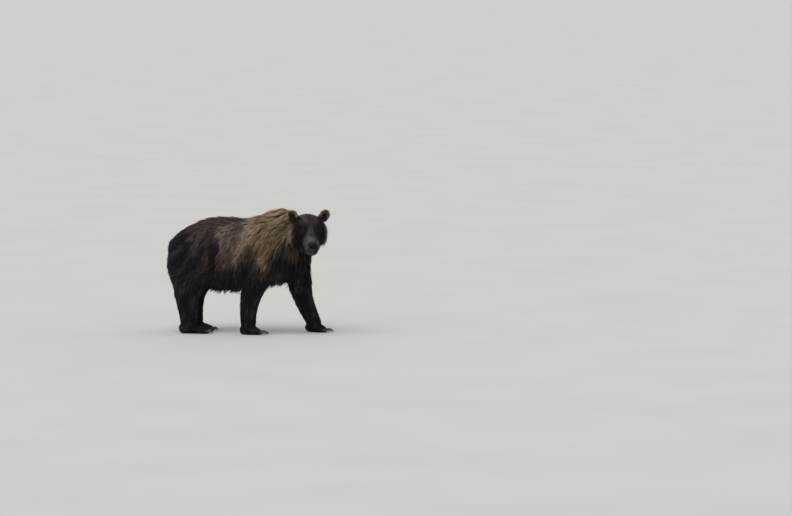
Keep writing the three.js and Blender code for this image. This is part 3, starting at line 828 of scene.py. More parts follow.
def numbers(mesh, name, values):
    """A number at each vertex of the mesh, for its material."""
    made = mesh.attributes.new(name, "FLOAT", "POINT")
    made.data.foreach_set("value", np.asarray(values, np.float32))


def shown(mesh, name, material, *nodes):
    """A finished piece, riding on the bear in place of its CAD nodes."""
    mesh.shade_smooth()
    mesh.materials.clear()
    mesh.materials.append(material)
    made = object_of(mesh, name)
    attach(made, "root")
    if nodes:
        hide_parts(*nodes)
    return made


class BEAR_OT_eyes(bpy.types.Operator):
    """Model both eyeballs, each with its cornea standing a little proud"""

    bl_idname = "bear.eyes"
    bl_label = "Eyes"

    def execute(self, context):
        head = context.scene.bear_head
        material = eye_material(context.scene.bear_colours, head)
        for side, name in ((-1, "eye_right"), (1, "eye_left")):
            bm = bmesh.new()
            ball(bm, (0, 0, 0), (head.eye,) * 3, turn=(0, math.pi / 2, 0), round_=48)
            radii = [math.hypot(v.co.y, v.co.z) for v in bm.verts]
            for v, radius in zip(bm.verts, radii):
                if v.co.x > 0 and radius < head.iris:
                    v.co.x += 1.1 * (1 - (radius / head.iris) ** 2)
            across = [r / head.eye if v.co.x > 0 else 1 for v, r in zip(bm.verts, radii)]
            mesh = mesh_of(bm, name, TO_ROW @ HEAD_PLACE @ eye_place(side))
            numbers(mesh, "from_pupil", across)
            shown(mesh, name + "ball", material, name)
        return {"FINISHED"}


class BEAR_OT_nose(bpy.types.Operator):
    """Model the nose pad with its two comma-shaped nostrils and the groove below"""

    bl_idname = "bear.nose"
    bl_label = "Nose"

    def execute(self, context):
        x, z, deep, wide, high = (NOSE[key] for key in ("x", "z", "depth", "width", "height"))
        bm = bmesh.new()
        ball(bm, (x, 0, z + 4), (deep, wide, high - 7))
        ball(bm, (x - 2, 0, z - 12), (deep - 2, 17, high - 8))
        both(lambda side: ball(bm, (x + 3, side * 21, z + 1), (15, 14, 15)))
        pad = relaxed(melted(bm, "nose pad", 1.6), 6)
        cut = bmesh.new()
        hole, slit = (15, 8.5, 6), (14, 8, 3)
        both(lambda side: ball(cut, (x + 17, side * 16, z + 1), hole, turn=(side * -0.35, 0, side * 0.3)))
        both(lambda side: ball(cut, (x + 10, side * 27, z - 5), slit, turn=(side * 0.5, 0, side * 0.7)))
        holes = relaxed(melted(cut, "nostrils", 1.3), 2)
        groove = bmesh.new()
        ball(groove, (x + 18, 0, z - 26), (8, 1.2, 24))
        mesh = combined(pad, [holes, mesh_of(groove, "groove")], "DIFFERENCE", "nose pad")
        mesh = relaxed(mesh, 1)
        mesh.transform(TO_ROW @ HEAD_PLACE)
        shown(mesh, "nose_pad", leather_material(context.scene.bear_colours), "nose")
        return {"FINISHED"}


class BEAR_OT_claws(bpy.types.Operator):
    """Model the twenty claws, long on the forepaws and short on the hind ones"""

    bl_idname = "bear.claws"
    bl_label = "Claws"

    def execute(self, context):
        material = claw_material(context.scene.bear_colours)
        for name, leg in LEGS.items():
            kind = PAWS["fore" if leg["fore"] else "hind"]
            for n in TOES:
                self.claw(name.replace("leg", "paw"), leg, kind, n, material)
        return {"FINISHED"}

    def claw(self, paw, leg, kind, n, material):
        toe, reach = kind["toe"][0], kind["claw"]
        stations = [
            [toe - 20, 0, 22, 6, 8, 7],
            [toe + 0.25 * reach, 0, 27, 5.4, 7.5, 6.5],
            [toe + 0.65 * reach, 0, 20, 3.6, 5, 4.6],
            [toe + reach, 0, 6, 0.7, 0.9, 0.9],
        ]
        bm = bmesh.new()
        loft(bm, stations, UPWARDS, sides=16, steps=18)
        along = [max(0, (v.co.x - toe) / reach) for v in bm.verts]
        x, y, turn = toe_at(kind, n)
        place = paw_place(leg) @ Matrix.Translation((x, y, 0)) @ Matrix.Rotation(turn, 4, "Z")
        mesh = mesh_of(bm, "claw", TO_ROW @ place)
        numbers(mesh, "along", along)
        shown(mesh, f"{paw}_horn_{n + 3}", material, f"{paw}_claw_{n + 3}")


# ---- The coat ----

MARKS = ("gold", "dark", "grey")
MIX_UNDER = 6  # the colour sockets of a mix node, by number
MIX_TOP = 7
MIX_RESULT = 2
SOLE_RISE = 14  # no hair grows on a sole below this
LIP_WIDTH = 6  # bare skin above and below the line between the lips
BARE_ROUND_EYE = 17.5  # bare skin round the middle of an eye


def rows_of(items, key, width, kind=np.float32):
    """A value of all of a mesh's items, one row an item."""
    values = np.empty(len(items) * width, kind)
    items.foreach_get(key, values)
    return values.reshape(-1, width)


class Surface:
    """The skin as arrays, in millimetres in the body's own frame, to set tufts on."""

    def __init__(self, skin):
        mesh = skin.data
        mesh.calc_loop_triangles()
        corners = rows_of(mesh.loop_triangles, "vertices", 3, np.int32)
        loops = rows_of(mesh.loop_triangles, "loops", 3, np.int32)
        self.points = rows_of(mesh.vertices, "co", 3).astype(float) / MM + np.array(MIDDLE)
        self.normals = rows_of(mesh.vertices, "normal", 3).astype(float)
        self.corners, loops = self.in_order(corners, loops)
        self.flat = rows_of(mesh.uv_layers["OFBake"].uv, "vector", 2)[loops]
        sides = self.points[self.corners]
        across = np.cross(sides[:, 1] - sides[:, 0], sides[:, 2] - sides[:, 0])
        self.areas = np.linalg.norm(across, axis=1) / 2
        self.middles = sides.mean(axis=1)
        self.facing = across / np.maximum(2 * self.areas[:, None], 1e-9)
        self.tree = BVHTree.FromPolygons(self.points.tolist(), self.corners.tolist())

    def in_order(self, corners, loops):
        """The faces in an order that hangs on their places alone, for a coat that is always the same."""
        rank = np.empty(len(self.points), int)
        rank[np.lexsort(np.round(self.points, 2).T)] = np.arange(len(self.points))
        turn = (rank[corners].argmin(axis=1)[:, None] + np.arange(3)) % 3
        corners = np.take_along_axis(corners, turn, axis=1)
        order = np.lexsort(rank[corners].T)
        return corners[order], np.take_along_axis(loops, turn, axis=1)[order]

    def scattered(self, weights, count, rng):
        """Places spread evenly over the surface, closer together where the weights are larger."""
        total = np.cumsum(self.areas * weights)
        steps = (np.arange(count) + rng.random(count)) * total[-1] / count
        faces = np.searchsorted(total, steps)
        a, b = rng.random(count), rng.random(count)
        over = a + b > 1
        a[over], b[over] = 1 - a[over], 1 - b[over]
        shares = np.stack([1 - a - b, a, b], axis=1)[:, :, None]
        corners = self.corners[faces]
        points = (self.points[corners] * shares).sum(axis=1)
        normals = unit((self.normals[corners] * shares).sum(axis=1))
        return points, normals, (self.flat[faces] * shares).sum(axis=1)

    def nearest(self, points):
        """The surface's own nearest points, and the way it faces there."""
        found = [self.tree.find_nearest(p) for p in points.tolist()]
        return np.array([f[0] for f in found]), np.array([f[1] for f in found])


def unit(rows):
    return rows / np.maximum(np.linalg.norm(rows, axis=-1, keepdims=True), 1e-9)


def rise_between(low, high, values):
    """0 up to low, 1 from high on, and a smooth rise between."""
    t = np.clip((values - low) / (high - low), 0, 1)
    return t * t * (3 - 2 * t)


def drop_between(low, high, values):
    """1 up to low, 0 from high on, and a smooth drop between."""
    return 1 - rise_between(low, high, values)


def mixed(a, b, share):
    return a + (b - a) * share


def layered(value, *layers):
    """The value covered by each layer in turn, where each is (its own value, its share)."""
    for cover, share in layers:
        value = mixed(value, cover, share)
    return value


def level_at(line, places):
    """The second numbers of the pairs of a line, at places among its first numbers."""
    return np.interp(places, *np.array(line).T)


def drift(points, size, seed):
    """Smooth noise from 0 to 1 whose patches are as large as the size."""
    spots = points / size
    base = np.floor(spots).astype(np.int64)
    part = spots - base
    part = part * part * (3 - 2 * part)
    total = np.zeros(len(points))
    for corner in range(8):
        step = np.array([corner & 1, corner >> 1 & 1, corner >> 2 & 1])
        cell = base + step
        # A number for each cell, shuffled by large odd factors.
        mix = (cell[:, 0] * 73856093) ^ (cell[:, 1] * 19349663) ^ (cell[:, 2] * 83492791) ^ (seed * 40503)
        mix = (mix ^ (mix >> 13)) * 1274126177 & 0x7FFFFFFF
        value = ((mix ^ (mix >> 16)) & 0xFFFF) / 0xFFFF
        total += value * np.prod(np.where(step == 1, part, 1 - part), axis=1)
    return total


def in_head(points):
    """The points in the head's own frame."""
    back = np.array(HEAD_PLACE.inverted())
    return points @ back[:3, :3].T + back[:3, 3]


def from_head(ways):
    return ways @ np.array(HEAD_PLACE)[:3, :3].T


def leg_share(points):
    """How far each point belongs to a leg, from 0 to 1."""
    share = np.zeros(len(points))
    for leg in LEGS.values():
        rows = np.array(sorted(sided(leg["line"], leg["side"]), key=lambda row: row[2]))
        x, y, half, ahead, behind = (np.interp(points[:, 2], rows[:, 2], rows[:, i]) for i in (0, 1, 3, 4, 5))
        long = np.where(points[:, 0] > x, ahead, behind)
        away = np.hypot((points[:, 0] - x) / long, (points[:, 1] - y) / half)
        inside = drop_between(1.15, 1.45, away) * drop_between(470, 600, points[:, 2])
        share = np.maximum(share, inside)
    return np.maximum(share, drop_between(300, SHIN_TOP, points[:, 2]))


def patch(x, z, at_x, at_z, long, high, lean):
    """1 in the middle of a soft oval patch on both sides of the body, and 0 outside it."""
    turn = math.radians(lean)
    along = (x - at_x) * math.cos(turn) - (z - at_z) * math.sin(turn)
    rise = (x - at_x) * math.sin(turn) + (z - at_z) * math.cos(turn)
    return drop_between(0.5, 1.3, np.hypot(along / long, rise / high))


BACKWARDS = np.array([-1.0, 0.0, 0.0])
DOWNWARDS = np.array([0.0, 0.0, -1.0])
STREAK = 110  # half the length of a light or dark streak of the barrel
FINE_STREAKS = 18  # sizes of the patches that the streaks are drawn out of
BROAD_STREAKS = 40
STREAKED_HAIR = 82  # hair as long as this carries streaks of full length

# Lines between one colour and the next on the sides of the body, as [height, place along the body].
GOLD_REAR = [[540, 195], [643, 165], [800, 90], [1016, 40], [1150, 10]]
GOLD_FRONT = [[540, 235], [650, 280], [780, 345], [834, 470], [860, 570], [900, 740]]
DARK_FRONT = [[560, -270], [700, -300], [800, -340], [900, -430], [1000, -520]]
# Half widths of the grey bridge, as [place along the muzzle, half width].
BRIDGE = [[20, 8], [50, 18], [90, 32], [140, 44], [200, 50]]
# Patches darker, or below 0 less dark, than the coat round them, as [depth, x, z, half length,
# half height, lean in degrees]. Most are painted shade in folds and under the body and head, one a painted
# sheen, as marked.
PATCHES = [
    [1.0, -258, 740, 46, 210, 4],  # painted shade in the fold ahead of the thigh
    [0.9, -130, 520, 180, 95, 0],  # low on the barrel: its darker lower coat, with painted shade under its curve
    [0.6, 80, 690, 90, 100, 10],  # painted shade behind the shoulder
    [0.9, 100, 570, 150, 100, 0],  # painted shade at the elbow
    [1.0, 400, 670, 110, 110, 0],  # painted shade on the chest, below the mane and the head
    [-0.5, -410, 830, 70, 120, 25],  # painted brown sheen on the rump
    [-0.4, -300, 500, 40, 75, 0],  # at the foot of the fold
    [-0.5, 350, 560, 75, 50, 0],  # brisket
]
# The pale band that falls from the withers.
BAND = [40, 870, 66, 250, 18]
# Patches lighter, or below 0 deeper, in tone, each over the ones before it; the deeper ones are painted
# shade.
LIGHTS = [
    [0.6, -140, 850, 150, 190, 18],  # the barrel
    [0.3, 300, 960, 170, 190, 18],  # the mane
    [0.35, 232, 680, 60, 150, 0],  # over the shoulder
    [0.9, 380, 1120, 150, 60, 0],  # the hump's paler gold tips, with painted light on its top
    [1.0, *BAND],
    [-0.6, -258, 710, 42, 190, 4],  # painted shade in the fold
    [-0.5, -210, 500, 130, 70, 0],  # low on the barrel: its darker lower coat, with painted shade under its curve
    [-0.4, 90, 600, 100, 110, 0],  # painted shade at the elbow
    [-0.95, 480, 680, 135, 150, 0],  # painted shade on the chest, under the head and neck
]


class Places:
    """What the coat is like at many places on the skin: each value is an array, one row a place."""

    def __init__(self, points, normals, coat):
        self.points, self.normals = points, normals
        self.head_points = in_head(points)
        self.find_head_parts()
        self.find_body_parts()
        self.set_sizes(coat)
        self.set_lie()

    def find_head_parts(self):
        """How far each place belongs to the head and its parts, from 0 to 1."""
        hx, hy, hz = self.head_points.T
        aside = np.abs(hy)
        self.head = rise_between(-168, -138, hx) * rise_between(-205, -180, hz)
        self.head *= drop_between(205, 235, aside)
        self.find_ears()
        self.cheek = self.head * drop_between(-5, 40, hx) * rise_between(88, 112, aside)
        self.cheek *= drop_between(50, 95, hz) * (1 - self.ear)
        self.throat = self.head * drop_between(-135, -105, hz) * drop_between(70, 110, hx)
        self.throat *= drop_between(110, 150, aside)
        self.from_eye = np.linalg.norm(np.stack([hx, aside, hz], axis=1) - EYE, axis=1)

    def find_body_parts(self):
        """The same for the parts of the body."""
        x, y, z = self.points.T
        hx = self.head_points[:, 0]
        self.leg = leg_share(self.points)
        self.paw = drop_between(90, 150, z)
        self.mane = rise_between(100, 220, x) * rise_between(560, 760, z) * (1 - self.head)
        self.tail = drop_between(-685, -655, x) * drop_between(30, 50, np.abs(y))
        self.under = rise_between(0.1, 0.7, -self.normals[:, 2])
        for part in (self.head, self.leg, self.tail):
            self.under *= 1 - part
        self.seat = self.under * drop_between(-620, -540, x)
        self.under -= self.seat
        self.rump = drop_between(-520, -380, x)
        self.neck = rise_between(-420, -190, hx) * rise_between(420, 520, x) * rise_between(700, 800, z)
        self.nape = rise_between(405, 445, x) * rise_between(1020, 1060, z) * (1 - self.head)

    def find_ears(self):
        """How far each place is on an ear, or on the head just below one, and its place on the ear."""
        local = []
        for side in (-1, 1):
            back = np.array(ear_place(side).inverted())
            local.append(self.head_points @ back[:3, :3].T + back[:3, 3])
        across, y, z = np.where(self.head_points[:, 1:2] < 0, *local).T
        self.ear_front = across
        self.ear_radius = np.hypot(y / EAR["width"], z / EAR["height"])
        near = drop_between(1.02, 1.2, self.ear_radius) * (np.abs(across) < EAR["depth"] + 8)
        self.ear = near * rise_between(-45, -20, z)
        below = drop_between(1.1, 1.45, self.ear_radius)
        self.ear_root = below * (1 - self.ear) * rise_between(-40, -20, across) * drop_between(50, 75, across)

    def set_sizes(self, coat):
        """Length and width of a tuft, how far its tip stands off the skin, and how close tufts are."""
        x, _, z = self.points.T
        hx, _, hz = self.head_points.T
        behind = rise_between(0.2, 0.9, -self.normals[:, 0]) * rise_between(120, 300, z)
        leg = mixed(coat.leg, coat.body, rise_between(330, 560, z))
        leg = leg * (0.7 + 0.3 * rise_between(110, 330, z)) * (1 + 0.5 * behind)
        hump = rise_between(1060, 1110, z) * rise_between(290, 370, x) * drop_between(490, 550, x)
        face = mixed(coat.face * 1.5, coat.face, rise_between(-100, 10, hx))
        face = mixed(face, coat.muzzle, rise_between(20, 90, hx))
        self.length = layered(
            coat.body,
            (coat.mane, self.mane),
            (coat.face * 2.1, self.nape),
            (coat.fringe, self.under),
            (leg, self.leg),
            (coat.leg, self.tail),
            (coat.paw, self.paw),
            (face, self.head),
            (coat.body * 1.05, self.throat),
            (coat.body * mixed(1.85, 1.25, rise_between(-120, -30, hz)), self.cheek),
            (coat.muzzle * 0.9, self.head * drop_between(20, 48, self.from_eye)),
            (coat.face * 1.4, self.ear_root),
            (coat.face * 1.25, self.ear),
        )
        self.stand = layered(
            24,
            (28 + 7 * hump, self.mane),
            (8, self.nape),
            (20, self.under),
            (mixed(9, 18, rise_between(250, 560, z)) + 9 * behind, self.leg),
            (8, self.tail),
            (5, self.paw),
            (mixed(7, 3, rise_between(0, 80, hx)), self.head),
            (20, self.throat),
            (25, self.cheek),
            (7, self.ear),
            (10, self.ear_root),
        )
        self.width = coat.width * np.clip((self.length / coat.body) ** 0.6, 0.28, 1.15)
        breeches = 0.4 * behind * self.leg * rise_between(250, 400, z)
        self.free = np.maximum.reduce([self.under * 0.8, self.cheek * 0.5, self.throat * 0.45, breeches])
        self.weight = 1 / (self.width * np.maximum(self.length, 12)) ** 0.55

    def set_lie(self):
        """The way the hair points: back along the spine, falling down the sides by an angle."""
        x, _, z = self.points.T
        hx, hy, hz = self.head_points.T
        rear = drop_between(-560, -360, x)
        fall = layered(
            64,
            (68, rise_between(60, 200, x)),
            (84, rise_between(500, 580, x) * drop_between(720, 820, z)),
            (49, rear),
            (24, rise_between(0.35, 0.85, self.normals[:, 2])),
            (40, rear * drop_between(520, 760, z)),
            (mixed(72, 82, drop_between(250, 400, z)), self.leg),
            (75, self.under * (1 - self.rump)),
        )
        fall = np.radians(fall)[:, None]
        back = mixed(BACKWARDS, from_head(BACKWARDS), self.neck[:, None])
        lie = back * np.cos(fall) + DOWNWARDS * np.sin(fall)
        lie = mixed(lie, np.array([0.4, 0.0, -1.0]), self.seat[:, None])
        ahead_of_leg = rise_between(0.1, 0.6, self.normals[:, 0] + self.normals[:, 2])
        lie = mixed(lie, np.array([1.0, 0.0, -0.5]), (self.paw * ahead_of_leg)[:, None])
        lie = mixed(lie, from_head(self.face_lie(hx, hy, hz)), self.head[:, None])
        hanging = np.maximum(0.55 * self.cheek, 0.8 * self.throat)
        lie = mixed(lie, DOWNWARDS + 0.2 * BACKWARDS, hanging[:, None])
        self.lie = unit(lie)

    def face_lie(self, hx, hy, hz):
        """The same on the face, in the head's own frame: back from the nose and out from the eyes."""
        side = np.sign(hy)
        zero = np.zeros(len(hx))
        lie = np.stack([zero - 1, 0.25 * side, zero - 0.1], axis=1)
        cheek = np.stack([zero - 0.5, 0.45 * side, zero - 0.8], axis=1)
        lie = mixed(lie, cheek, rise_between(60, 110, np.abs(hy))[:, None])
        lie = mixed(lie, np.array([-0.9, 0.0, -0.42]), rise_between(80, 120, -hz)[:, None])
        out = np.stack([hx - EYE.x, np.abs(hy) - EYE.y, hz - EYE.z], axis=1)
        out[:, 1] *= side
        lie = mixed(lie, unit(out) * 1.3, 0.75 * drop_between(22, 46, self.from_eye)[:, None])
        up_ear = np.stack([zero, 0.35 * side, zero + 1], axis=1)
        return mixed(lie, up_ear, np.maximum(self.ear, self.ear_root)[:, None])

    def marks(self):
        """The markings, with painted shade and light from PATCHES, LIGHTS and the ears: how gold, dark and
        grey the coat is, from 0 to 1, and how light, or below 0 deep.
        """
        # A mark shows where the hair ends, so it is looked up part of the way along the hair.
        x, _, z = (self.points + tangent(self.lie, self.normals) * 0.6 * self.length[:, None]).T
        hx, hy, hz = self.head_points.T
        aside = np.abs(hy)
        up = self.normals[:, 2]
        wander = drift(self.points, 90, 5) - 0.5
        rear_edge = level_at(GOLD_REAR, z) + 70 * wander
        front_edge = level_at(GOLD_FRONT, z) + 60 * wander
        gold = rise_between(-75, 90, x - rear_edge) * drop_between(-60, 40, x - front_edge)
        gold *= rise_between(500, 620, z + 60 * wander) * rise_between(-0.8, -0.2, up)
        gold = np.maximum(gold, 0.5 * patch(x, z, *BAND))
        dark = drop_between(-110, 90, x - (level_at(DARK_FRONT, z) + 90 * wander))
        dark = np.maximum(dark, drop_between(480, 600, z + 90 * wander))
        chest = rise_between(-30, 70, x - front_edge) * drop_between(830, 930, z)
        dark = np.maximum.reduce([dark, chest, self.leg])
        drifted = np.stack([x + 70 * wander, z - 70 * wander])
        for depth, *spot in PATCHES:
            dark = mixed(dark, max(depth, 0), abs(depth) * patch(*drifted, *spot) * (1 - self.leg))
        self.light = np.zeros(len(x))
        for depth, *spot in LIGHTS:
            self.light = mixed(self.light, depth, patch(*drifted, *spot) * (1 - self.head))
        gold *= 1 - np.maximum(self.leg, 0.8 * dark)
        scruff = rise_between(-330, -200, hx) * (1 - self.head) * rise_between(430, 520, x)
        scruff *= rise_between(-0.3, 0.3, up) * rise_between(880, 960, z)
        gold, dark = np.maximum(gold, 0.8 * scruff), dark * (1 - scruff)
        self.grey = self.head * self.muzzle_grey(hx, hz, aside)
        self.grey *= np.maximum(rise_between(1.1, 1.4, self.from_nose()), drop_between(190, 215, hx))
        crown = rise_between(55, 125, hz) * drop_between(70, 130, aside)
        face = 1 - 0.6 * crown
        self.light = mixed(self.light, 0.12 * crown - 0.85 * (1 - crown) * (1 - self.grey), self.head)
        dark = mixed(dark, face, self.head)
        gold = mixed(gold, 0.2 * crown, self.head)
        rim = self.cheek * rise_between(106, 130, aside) * (0.5 + 0.5 * rise_between(-120, -50, hz))
        gold = np.maximum.reduce([gold, 0.75 * rim, 0.25 * self.throat])
        dark = mixed(mixed(dark, 0.5, self.throat), 0, rim)
        # Painted shade and light on the ears: inner darkens the hollow of the cup, and the lighter outer rim
        # is a painted highlight.
        inner = self.ear * rise_between(-6, 4, self.ear_front) * drop_between(0.4, 0.7, self.ear_radius)
        gold = mixed(gold, 0.8 * (1 - inner), self.ear)
        dark = mixed(dark, inner, self.ear)
        self.light = mixed(mixed(self.light, 0, self.throat), 0.7, rim)
        self.light = mixed(self.light, 1.2 * rise_between(0.5, 0.95, self.ear_radius) - 0.2, self.ear)
        self.gold, self.dark = gold, dark

    @staticmethod
    def muzzle_grey(hx, hz, aside):
        """The paler bridge, which narrows up between the eyes, and the paler lips and chin."""
        bridge = rise_between(22, 80, hx) * drop_between(0.75, 1.3, aside / level_at(BRIDGE, hx))
        bridge *= rise_between(-60, -20, hz)
        return np.maximum(bridge, 0.75 * rise_between(80, 135, hx))

    def streaks(self):
        """Light and dark streaks that run with the hair, from 0 to 1."""
        way = tangent(self.lie, self.normals)
        total = np.zeros(len(self.points))
        reach = STREAK * np.clip(self.length / STREAKED_HAIR, 0.2, 1)
        for step in np.linspace(-1, 1, 9):
            at = self.points + way * (step * reach)[:, None]
            total += drift(at, FINE_STREAKS, 21) + 0.9 * drift(at, BROAD_STREAKS, 22)
        total = (total - total.mean()) / total.std()
        return np.clip(0.5 + (0.42 + 0.12 * self.mane) * total, 0, 1)

    def from_nose(self):
        """Where a place lies as seen from the front of the nose: below 1 behind its leather."""
        _, hy, hz = self.head_points.T
        pad = np.hypot(hy / NOSE["width"], (hz - NOSE["z"] - 3) / (NOSE["height"] - 5))
        return np.minimum(pad, np.hypot(hy / 18, (hz - NOSE["z"] + 12) / (NOSE["height"] - 7)))

    def bare(self):
        """Where no tuft grows: eyes, nose, lips and soles."""
        hx, _, hz = self.head_points.T
        eye = self.from_eye < BARE_ROUND_EYE
        nose = (hx > NOSE["x"] - 18) & (self.from_nose() < 1.1)
        lips = (np.abs(hz - level_at(MOUTH_LINE, hx)) < LIP_WIDTH) & (hx > MOUTH_CORNER - 4)
        face = (self.head > 0.5) & (eye | nose | lips)
        sole = (self.points[:, 2] < SOLE_RISE) & (self.normals[:, 2] < 0.1)
        return face | sole


def around(ways, axes, angles):
    """The ways turned about the axes."""
    cos, sin = np.cos(angles)[:, None], np.sin(angles)[:, None]
    along = (ways * axes).sum(axis=1, keepdims=True) * axes
    return ways * cos + np.cross(axes, ways) * sin + along * (1 - cos)


def tangent(ways, normals):
    return unit(ways - (ways * normals).sum(axis=1, keepdims=True) * normals)


LOCK_TURNS = 0.12  # how far locks stray from the lie, in radians
LOCK_BENDS = 0.1  # how far they turn on along the way
LOCK_LENGTHS = (0.85, 1.2)  # least and most, as a share of the hair's length at the place
FRINGE_LENGTHS = (-0.4, 0.35)  # what hair under the belly has more or less than that
LOCK_STANDS = (0.75, 1.15)  # least and most, as a share of how far tips stand off there
LOCK_GAP = 0.29  # between the roots of locks, as a share of their length
LEAST_GAP = 6
MOST_GAP = 30
GAP_STEP = 1.4  # from one size of cell to the next
STREAK_TONE = 0.75  # the shares of streaks and chance in the tone of a lock
LOCK_CHANCE = 0.25
LOCK_TONE = 0.88  # the shares of the lock and of chance in the tone of a tuft
TUFT_CHANCE = 0.12

RINGS = 2  # of a tuft, before its tip
TUFT_SHARES = (0, 0.5, 1)
TUFT_HEIGHTS = (-0.1, 0.75, 1.0)  # of the tip's own
TUFT_WIDTHS = (0.45, 0.5)
TUFT_LENGTHS = (0.72, 1.18)  # least and most, as a share of its lock's
TUFT_RISES = (0.35, 1.1)  # how high tufts lie in the coat
TUFT_GATHERS = (0.55, 0.95)  # how far the tips of a lock close in on its line
TUFT_ROLLS = 0.45  # how far tufts roll about their own line, in radians
TUFT_PATCH = 0.003  # across a tuft's patch of the map
LOWEST_LINE = 3.0  # how far above the floor a tuft's line stays
LOWEST_EDGE = 1.5  # the same for its edges
MOST_TRIANGLES = 199000


def lock_lines(surface, places, rng):
    """The line that each lock follows over the skin, as points from its root to its tip."""
    count = len(places.points)
    at, normal = places.points.copy(), places.normals.copy()
    way = tangent(places.lie, normal)
    way = around(way, normal, rng.normal(0, LOCK_TURNS, count))
    bend = rng.normal(0, LOCK_BENDS, count)
    length = places.length * rng.uniform(*LOCK_LENGTHS, count)
    length *= 1 + places.under * rng.uniform(*FRINGE_LENGTHS, count)
    stand = places.stand * rng.uniform(*LOCK_STANDS, count)
    hang = places.free * 1.2 + 0.1
    free = places.free[:, None]
    lines = [at + normal * (stand * TUFT_HEIGHTS[0])[:, None]]
    for height in TUFT_HEIGHTS[1:]:
        step = at + way * (length / RINGS)[:, None]
        on, facing = surface.nearest(step)
        at = mixed(on, step, free)
        normal = unit(mixed(facing, normal, 0.35 + 0.5 * free))
        lines.append(at + normal * (stand * height)[:, None])
        way = around(way, normal, bend)
        way = way + np.array([0, 0, -1]) * hang[:, None] * 0.6
        way = unit(tangent(way, normal) * (1 - free) + unit(way) * free)
    return np.stack(lines, axis=1)


def tuft_lines(roots, places, lock_of, locks, lines, rng):
    """Each tuft starts at its own root and closes in on the line of its lock."""
    count = len(roots)
    own = lines[lock_of]
    size = rng.uniform(*TUFT_LENGTHS, count) * places.length / np.maximum(locks.length[lock_of], 1)
    rise = rng.uniform(*TUFT_RISES, count) ** 0.8
    offset = roots - locks.points[lock_of]
    gather = rng.uniform(*TUFT_GATHERS, count)
    points = []
    for k, share in enumerate(TUFT_SHARES):
        line = own[:, 0] + (own[:, k] - own[:, 0]) * size[:, None]
        points.append(line + offset * (1 - gather * share ** 1.3)[:, None])
    points = np.stack(points, axis=1)
    # Tufts lie in layers: each is lowered towards the skin by its own share.
    normals = places.normals[:, None, :]
    heights = np.array(TUFT_HEIGHTS)[None, :, None]
    drop = (1 - rise)[:, None, None] * places.stand[:, None, None] * np.clip(heights, 0, 1) * 0.85
    points = points - normals * drop
    scatter = rng.normal(0, 1, (count, 3)) * (places.width * 0.5)[:, None]
    points[:, 1] += scatter * 0.4
    points[:, 2] += scatter
    points[:, :, 2] = np.maximum(points[:, :, 2], LOWEST_LINE)
    return points


def tuft_mesh(name, lines, places, tones, flat, rng):
    """One mesh of closed, flat, tapered tufts, each with a ridge along its back."""
    count, per_tuft = len(lines), 3 * RINGS + 1
    ways = unit(np.diff(lines, axis=1))
    ways[:, 1] = unit(ways[:, 0] + ways[:, 1])
    roll = rng.normal(0, TUFT_ROLLS, count)
    verts = np.empty((count, per_tuft, 3))
    for k in range(RINGS):
        up = around(tangent(places.normals, ways[:, k]), ways[:, k], roll)
        side = np.cross(ways[:, k], up)
        half = (places.width * TUFT_WIDTHS[k])[:, None]
        verts[:, 3 * k] = lines[:, k] + side * half
        verts[:, 3 * k + 1] = lines[:, k] + up * half * 0.45
        verts[:, 3 * k + 2] = lines[:, k] - side * half
    verts[:, -1] = lines[:, -1]
    verts[:, :, 2] = np.maximum(verts[:, :, 2], LOWEST_EDGE)
    faces = [(0, 2, 1)]
    for k in range(RINGS - 1):
        for j in range(3):
            a, b = 3 * k + j, 3 * k + (j + 1) % 3
            faces += [(a, b, b + 3), (a, b + 3, a + 3)]
    last = 3 * (RINGS - 1)
    faces += [(last + j, last + (j + 1) % 3, 3 * RINGS) for j in range(3)]
    faces = np.array(faces, np.int64)
    corners = (np.arange(count)[:, None, None] * per_tuft + faces[None]).reshape(-1)
    mesh = bpy.data.meshes.new(name)
    mesh.vertices.add(count * per_tuft)
    in_row = (verts.reshape(-1, 3) - np.array(MIDDLE)) * MM
    mesh.vertices.foreach_set("co", in_row.astype(np.float32).reshape(-1))
    mesh.loops.add(len(corners))
    mesh.loops.foreach_set("vertex_index", corners.astype(np.int32))
    mesh.polygons.add(len(corners) // 3)
    mesh.polygons.foreach_set("loop_start", np.arange(0, len(corners), 3, dtype=np.int32))
    mesh.update(calc_edges=True)
    # Each tuft takes a patch of the map, at the root's own place on the skin's unwrap.
    along = np.repeat(TUFT_SHARES, 3)[:per_tuft].astype(float)
    across = np.append(np.tile([1.0, 0.5, 0.0], RINGS), 0.5)
    spread = np.stack([across - 0.5, along - 0.5], axis=1) * TUFT_PATCH
    spots = np.clip((flat[:, None] + spread[None]).reshape(-1, 2)[corners], 0, 1)
    unwrapped = mesh.uv_layers.new(name="OFBake")
    unwrapped.uv.foreach_set("vector", spots.astype(np.float32).reshape(-1))
    # Tone rises from root to tip: the near-black roots are partly the hair's own darker base and partly
    # painted shade deep in the coat between the locks.
    reach = np.tile(along, count)
    numbers(mesh, "tone", np.clip(reach ** 0.8 * (0.1 + np.repeat(tones, per_tuft)), 0, 1))
    for mark in MARKS:
        numbers(mesh, mark, np.repeat(getattr(places, mark), per_tuft))
    return mesh


def laid_over(tree, under, links, values=None):
    """A colour mixed over the one under it."""
    links = {MIX_UNDER: under, **links}
    return add_node(tree, "ShaderNodeMix", values, links, data_type="RGBA").outputs[MIX_RESULT]


